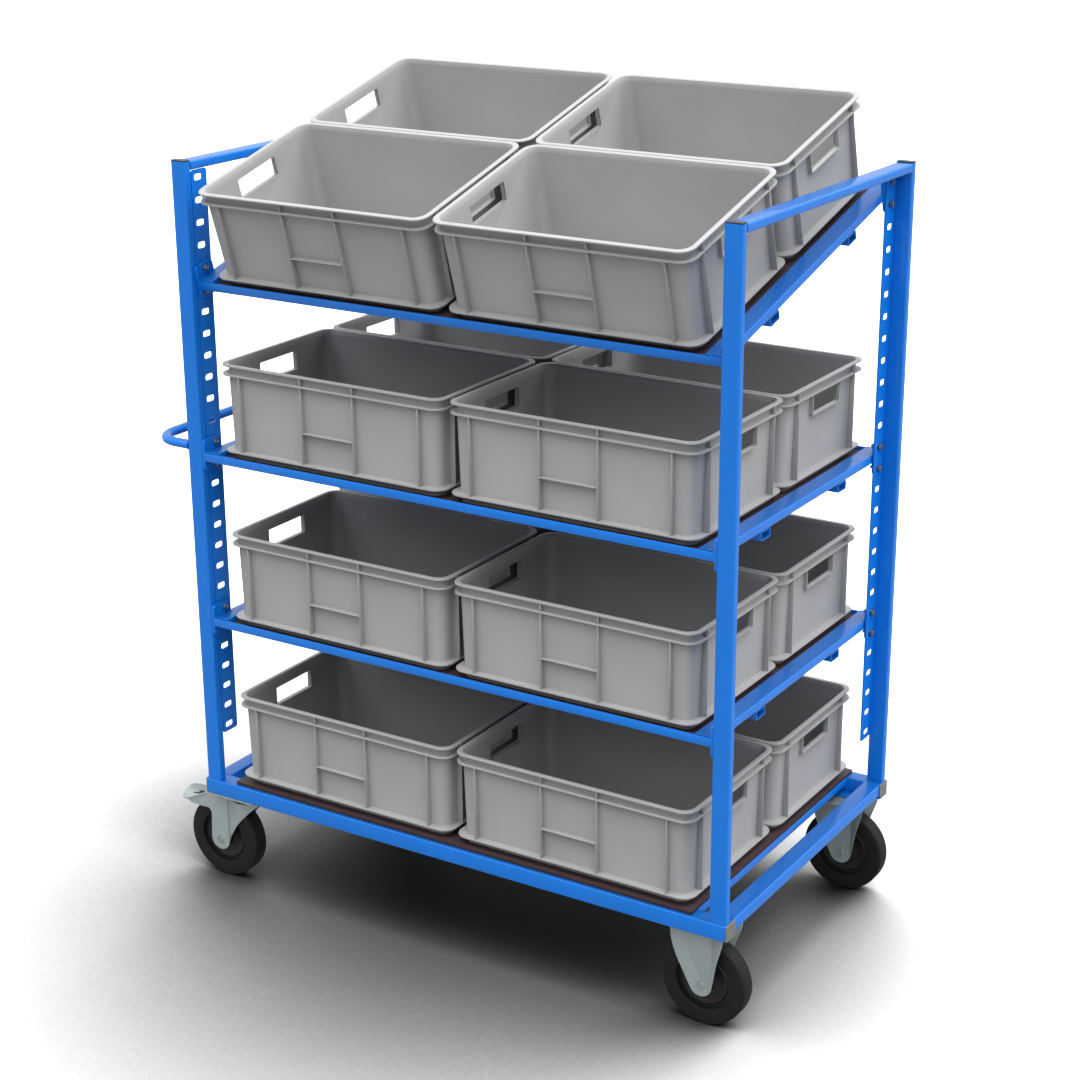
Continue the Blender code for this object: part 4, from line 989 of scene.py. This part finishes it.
def axle_parts(form):
    """The wheel's axle with its hollow ends pressed over outside the legs."""
    outside = FORK_GAP / 2 + FORK_THICKNESS
    place = at(0, 0, WHEEL_RADIUS) @ ABOUT_AXLE
    floor = outside + AXLE["proud"] / 8
    prism(form, disc(AXLE["shank"] / 2), -floor, floor, 0, place)
    for sign in (-1, 1):
        low, high = sign * (outside - FORK_THICKNESS / 4), sign * (outside + AXLE["proud"])
        profile = [(AXLE["mouth"], low), (AXLE["mouth"], high), (AXLE["rim"] - FORK_THICKNESS / 3, high),
                   (AXLE["rim"], sign * outside), (AXLE["rim"], low)]
        turned(form, profile, 32, place)


def top_plate(form, kind):
    prism(form, rounded(*PLATE_SIZES[kind], PLATE_CORNER, 6), CASTER_HEIGHT - PLATE_THICKNESS, CASTER_HEIGHT,
          PLATE_THICKNESS / 6)


def fixed_bracket_mesh():
    form = bmesh.new()
    top_plate(form, "fixed")
    outline = leg_outline(BRACKET_LEFT, BRACKET_RIGHT, BRACKET_TOP)
    leg_plates(form, outline, BRACKET_CREASE * WHEEL_RADIUS, FLARE["fixed"])
    axle_parts(form)
    return mesh_of(form, "bracket", ZINC)


# The swivel race: radius in millimetres, share of the height between the crown and the plate
RACE_PROFILE = [(24.0, 0.0), (27.0, 0.1), (28.0, 0.3), (27.4, 0.4), (26.0, 0.46), (27.0, 0.52), (28.0, 0.64),
                (28.0, 1.0)]


def swivel_head_mesh():
    form = bmesh.new()
    top_plate(form, "swivel")
    low = CROWN_Z + SEAT
    height = CASTER_HEIGHT - PLATE_THICKNESS / 2 - low
    loft(form, [[(x, y, low + share * height) for x, y in disc(radius * MM, 48)]
                for radius, share in RACE_PROFILE])
    return mesh_of(form, "swivel_race", ZINC)


def swivel_fork_mesh():
    form = bmesh.new()
    outline = leg_outline(SWIVEL_LEFT, SWIVEL_RIGHT, SWIVEL_TOP)
    leg_plates(form, outline, FORK_TIP, FLARE["swivel"])
    half = FORK_GAP / 2 + FORK_THICKNESS / 2
    under = CROWN_Z - FORK_THICKNESS
    bar(form, (-CROWN_BACK, -half, under), (FORK_TIP, half, CROWN_Z), FORK_THICKNESS / 4)
    prism(form, disc(CROWN_RADIUS, 40), under, CROWN_Z, FORK_THICKNESS / 5, at(SWIVEL_TRAIL, 0, 0))
    axle_parts(form)
    return mesh_of(form, "swivel_yoke", ZINC)


# The brake pedal about its pin, in metres, its slope in degrees
PEDAL = {"back": 0.050, "height": 0.205, "tip": 0.0855, "heel": 0.017, "rise": 0.0026, "thick": 0.003,
         "corner": 0.027, "slope": 25.5, "half": 0.0288, "inset": 0.0016, "pin": 0.005, "crown": 0.024}
PEDAL_STATIONS = (0, 0.01, 0.03, 0.06, 0.10, 0.15, 0.20, 0.26, 0.33, 0.41, 0.50, 0.60, 0.66, 0.80, 1.0)
PEDAL_CHEEK = [(-0.0595, -0.0016), (-0.0520, -0.0117), (-0.0232, -0.0255), (-0.0070, -0.0300),
               (0.0080, -0.0200)]
CROWN_START = 0.15
CROWN_PACE = 1.15
CROWN_POWER = 1.3
# Painted shade: a near-black strip on the tread beside each cheek, standing in for the shade in the slots
# along the fold. Its stations along the pedal, its place and widths across it, and how far it stands proud
# and sinks in.
TREAD_SHADE = {"tip": -0.036, "head": -0.021, "shoulder": -0.020, "root": -0.006, "low": 0.0235, "wide": 0.0105,
         "slim": 0.003, "proud": 0.0006, "sunk": 0.0010}


def tread_height(x, y):
    """Height of the crowned tread over a point, before the pedal is sloped."""
    share = (x + PEDAL["tip"]) / (PEDAL["tip"] + PEDAL["heel"])
    phase = min(share * CROWN_PACE + CROWN_START, 1.0)
    crown = PEDAL["crown"] * math.sin(math.pi * phase) ** CROWN_POWER
    return PEDAL["rise"] + crown * (1 - (y / PEDAL["half"]) ** 2)


def sloped_mesh(form, name, finish):
    moved(form, form.verts, Matrix.Rotation(-math.radians(PEDAL["slope"]), 4, "Y"))
    return mesh_of(form, name, finish)


def tread_shade_mesh():
    """A near-black strip of painted shade in the tread beside each cheek, thin toward the tip and wide at the
    root.
    """
    form = bmesh.new()
    stations = ((TREAD_SHADE["tip"], TREAD_SHADE["slim"] / 2), (TREAD_SHADE["head"], TREAD_SHADE["slim"]),
                (TREAD_SHADE["shoulder"], TREAD_SHADE["wide"]), (TREAD_SHADE["root"], TREAD_SHADE["wide"]))
    for sign in (-1, 1):
        rings = []
        for station, wide in stations:
            places = [(station, sign * (TREAD_SHADE["low"] - wide * step / 4)) for step in range(5)]
            over = [(x, y, tread_height(x, y)) for x, y in places]
            ring = [(x, y, z + TREAD_SHADE["proud"]) for x, y, z in over]
            rings.append(ring + [(x, y, z - TREAD_SHADE["sunk"]) for x, y, z in reversed(over)])
        loft(form, rings)
    return sloped_mesh(form, "tread_shade", RUBBER)


def pedal_mesh():
    """The crowned tread with a cheek on each side, set in a little under its edge, and its pin."""
    form = bmesh.new()
    length = PEDAL["tip"] + PEDAL["heel"]
    rings = []
    for share in PEDAL_STATIONS:
        x = -PEDAL["tip"] + share * length
        rounding = max(PEDAL["corner"] - share * length, 0)
        wide = PEDAL["half"] - PEDAL["corner"] + math.sqrt(PEDAL["corner"] ** 2 - rounding ** 2)
        over = [(x, wide * step / 6, tread_height(x, wide * step / 6)) for step in range(-6, 7)]
        rings.append(over + [(x, y, z - PEDAL["thick"]) for x, y, z in reversed(over)])
    loft(form, rings)
    under = PEDAL["rise"] - PEDAL["thick"] / 2
    corners = [(PEDAL["corner"] - PEDAL["tip"], under), *PEDAL_CHEEK, (PEDAL["heel"] / 2, under)]
    cheek = filleted(corners, 2 * PEDAL["thick"])
    outer = PEDAL["half"] - PEDAL["inset"]
    for sign in (-1, 1):
        low, high = one_side(sign, outer, outer - PEDAL["thick"])
        prism(form, cheek, low, high, PEDAL["thick"] / 6, UPRIGHT)
    reach = outer - PEDAL["thick"] / 2
    prism(form, disc(PEDAL["pin"] / 2), -reach, reach, 0, ABOUT_AXLE)
    return sloped_mesh(form, "pedal", ZINC)


def build_casters():
    tyre = wheel_mesh(TYRE_PROFILE, "tyre", RUBBER)
    core = wheel_mesh(CORE_PROFILE, "wheel_core", CORE)
    bracket = fixed_bracket_mesh()
    head = swivel_head_mesh()
    fork = swivel_fork_mesh()
    pedal = pedal_mesh()
    tread_shade = tread_shade_mesh()
    for end, sign in ENDS.items():
        stations = (CASTER_X, -CASTER_X, -CASTER_X - SWIVEL_TRAIL)
        right, swivel, left = (at(x, sign * CASTER_Y, 0) for x in stations)
        hinge = left @ at(-PEDAL["back"], 0, PEDAL["height"])
        piece(f"bracket_{end}", bracket, "trolley", [f"fixed_bracket_{end}"], right)
        piece(f"race_{end}", head, "trolley", [f"swivel_head_{end}"], swivel)
        piece(f"fork_{end}", fork, f"swivel_{end}", [f"swivel_fork_{end}"], left)
        piece(f"pedal_{end}", pedal, f"brake_{end}", [f"brake_pedal_{end}"], hinge)
        # Painted shade on the pedal's tread: the near-black strip beside each cheek.
        piece(f"catch_{end}", tread_shade, f"brake_{end}", [f"brake_pedal_{end}"], hinge)
        for side, foot in (("left", left), ("right", right)):
            place = foot @ at(0, 0, WHEEL_RADIUS)
            body = f"{side}_wheel_{end}"
            for name, data in (("tyre", tyre), ("core", core)):
                piece(f"{name}_{end}_{side}", data, body, [f"wheel_{end}_{side}"], place)


# Stage, light and camera


HORIZON_LEVEL = 0.04
ZENITH_LEVEL = 5.5
ZENITH_POWER = 2.0
ZENITH = (0.08, 0.06, 1.0)
FLOOR_HALF = 60.0
# The floor's dim tone for the light it bounces, and its tone as the camera sees it outside the painted
# shadow. Then the painted shadow on the floor as the camera sees it: the reach of its occlusion rays, the
# power that deepens it, the lean of their hemisphere, and a toe taken off so its core goes black.
FLOOR_TONE = 0.20
FLOOR_SEEN = 0.95
FLOOR_SHADOW_REACH = 3.0
FLOOR_SHADOW_DEPTH = 3.0
FLOOR_SHADOW_LEAN = (0.22, 0.40, 0.88)
FLOOR_SHADOW_TOE = 0.006
CAMERA = {"place": (2.5073, -4.0007, 2.5227), "azimuth": 30.956, "elevation": 19.200, "roll": 0.054,
          "focus": 2176.2, "centre": (585.24, 538.55), "frame": 1080.0, "sensor": 36.0}


def build_stage():
    data = bpy.data.meshes.new("floor")
    corners = [(x * FLOOR_HALF, y * FLOOR_HALF, 0) for x, y in ((-1, -1), (1, -1), (1, 1), (-1, 1))]
    data.from_pydata(corners, [], [(0, 1, 2, 3)])
    floor = bpy.data.objects.new("floor", data)
    bpy.context.scene.collection.objects.link(floor)
    finish = Finish("studio_floor", [FLOOR_TONE] * 3, 0.9)
    worn = finish.tone(finish.noise(0.5), 0.005)
    # Painted shadow: the floor as the camera sees it is darkened by ambient occlusion from the trolley. The
    # occlusion is raised to a power and leaned towards +X and +Y, so the dark falls to the front and left of
    # the trolley. Bounced light takes the dim tone, which has no shadow painted in.
    shade = finish.nodes.new("ShaderNodeAmbientOcclusion")
    shade.inputs["Distance"].default_value = FLOOR_SHADOW_REACH
    lean = finish.nodes.new("ShaderNodeCombineXYZ")
    for socket, value in zip(lean.inputs, Vector(FLOOR_SHADOW_LEAN).normalized()):
        socket.default_value = value
    finish.links.new(lean.outputs["Vector"], shade.inputs["Normal"])
    tree = finish.material.node_tree
    painted_shadow = sums(tree, "SUBTRACT", sums(tree, "POWER", shade.outputs["AO"], FLOOR_SHADOW_DEPTH), FLOOR_SHADOW_TOE)
    painted_shadow.node.use_clamp = True
    seen = finish.mixed(painted_shadow, [0.0] * 3, [FLOOR_SEEN] * 3)
    path = finish.nodes.new("ShaderNodeLightPath")
    finish.paint(finish.mixed(path.outputs["Is Camera Ray"], worn, seen))
    finish.shader.inputs["Specular IOR Level"].default_value = 0.1
    data.materials.append(finish.material)


def build_light():
    """A soft dome, bright overhead and dim near the horizon; seen and mirrored it is plain white."""
    world = bpy.data.worlds.new("studio")
    bpy.context.scene.world = world
    world.use_nodes = True
    tree = world.node_tree
    nodes = tree.nodes
    background = nodes["Background"]
    background.inputs["Color"].default_value = (1, 1, 1, 1)
    rise = nodes.new("ShaderNodeVectorMath")
    rise.operation = "DOT_PRODUCT"
    rise.inputs[1].default_value = Vector(ZENITH).normalized()
    tree.links.new(nodes.new("ShaderNodeTexCoord").outputs["Generated"], rise.inputs[0])
    above = sums(tree, "POWER", sums(tree, "MAXIMUM", rise.outputs["Value"], 0.0), ZENITH_POWER)
    dome = sums(tree, "ADD", sums(tree, "MULTIPLY", above, ZENITH_LEVEL), HORIZON_LEVEL)
    path = nodes.new("ShaderNodeLightPath").outputs
    plain = sums(tree, "MAXIMUM", path["Is Camera Ray"], path["Is Glossy Ray"])
    domed = sums(tree, "MULTIPLY", dome, sums(tree, "SUBTRACT", 1.0, plain))
    tree.links.new(sums(tree, "ADD", plain, domed), background.inputs["Strength"])


def build_camera():
    data = bpy.data.cameras.new("camera")
    camera = bpy.data.objects.new("camera", data)
    bpy.context.scene.collection.objects.link(camera)
    size = CAMERA["frame"]
    data.sensor_width = CAMERA["sensor"]
    data.lens = CAMERA["sensor"] * CAMERA["focus"] / size
    data.shift_x = (size / 2 - CAMERA["centre"][0]) / size
    data.shift_y = (CAMERA["centre"][1] - size / 2) / size
    data.clip_end = 200.0
    turn = (Matrix.Rotation(math.radians(CAMERA["azimuth"]), 4, "Z")
            @ Matrix.Rotation(math.radians(90.0 - CAMERA["elevation"]), 4, "X")
            @ Matrix.Rotation(math.radians(CAMERA["roll"]), 4, "Z"))
    camera.matrix_world = ORIGIN @ Matrix.Translation(CAMERA["place"]) @ turn
    bpy.context.scene.camera = camera


build_base()
build_side_frames()
build_handle()
build_shelves()
build_crates()
build_casters()
build_stage()
build_light()
build_camera()
bpy.context.scene.view_settings.view_transform = "Standard"
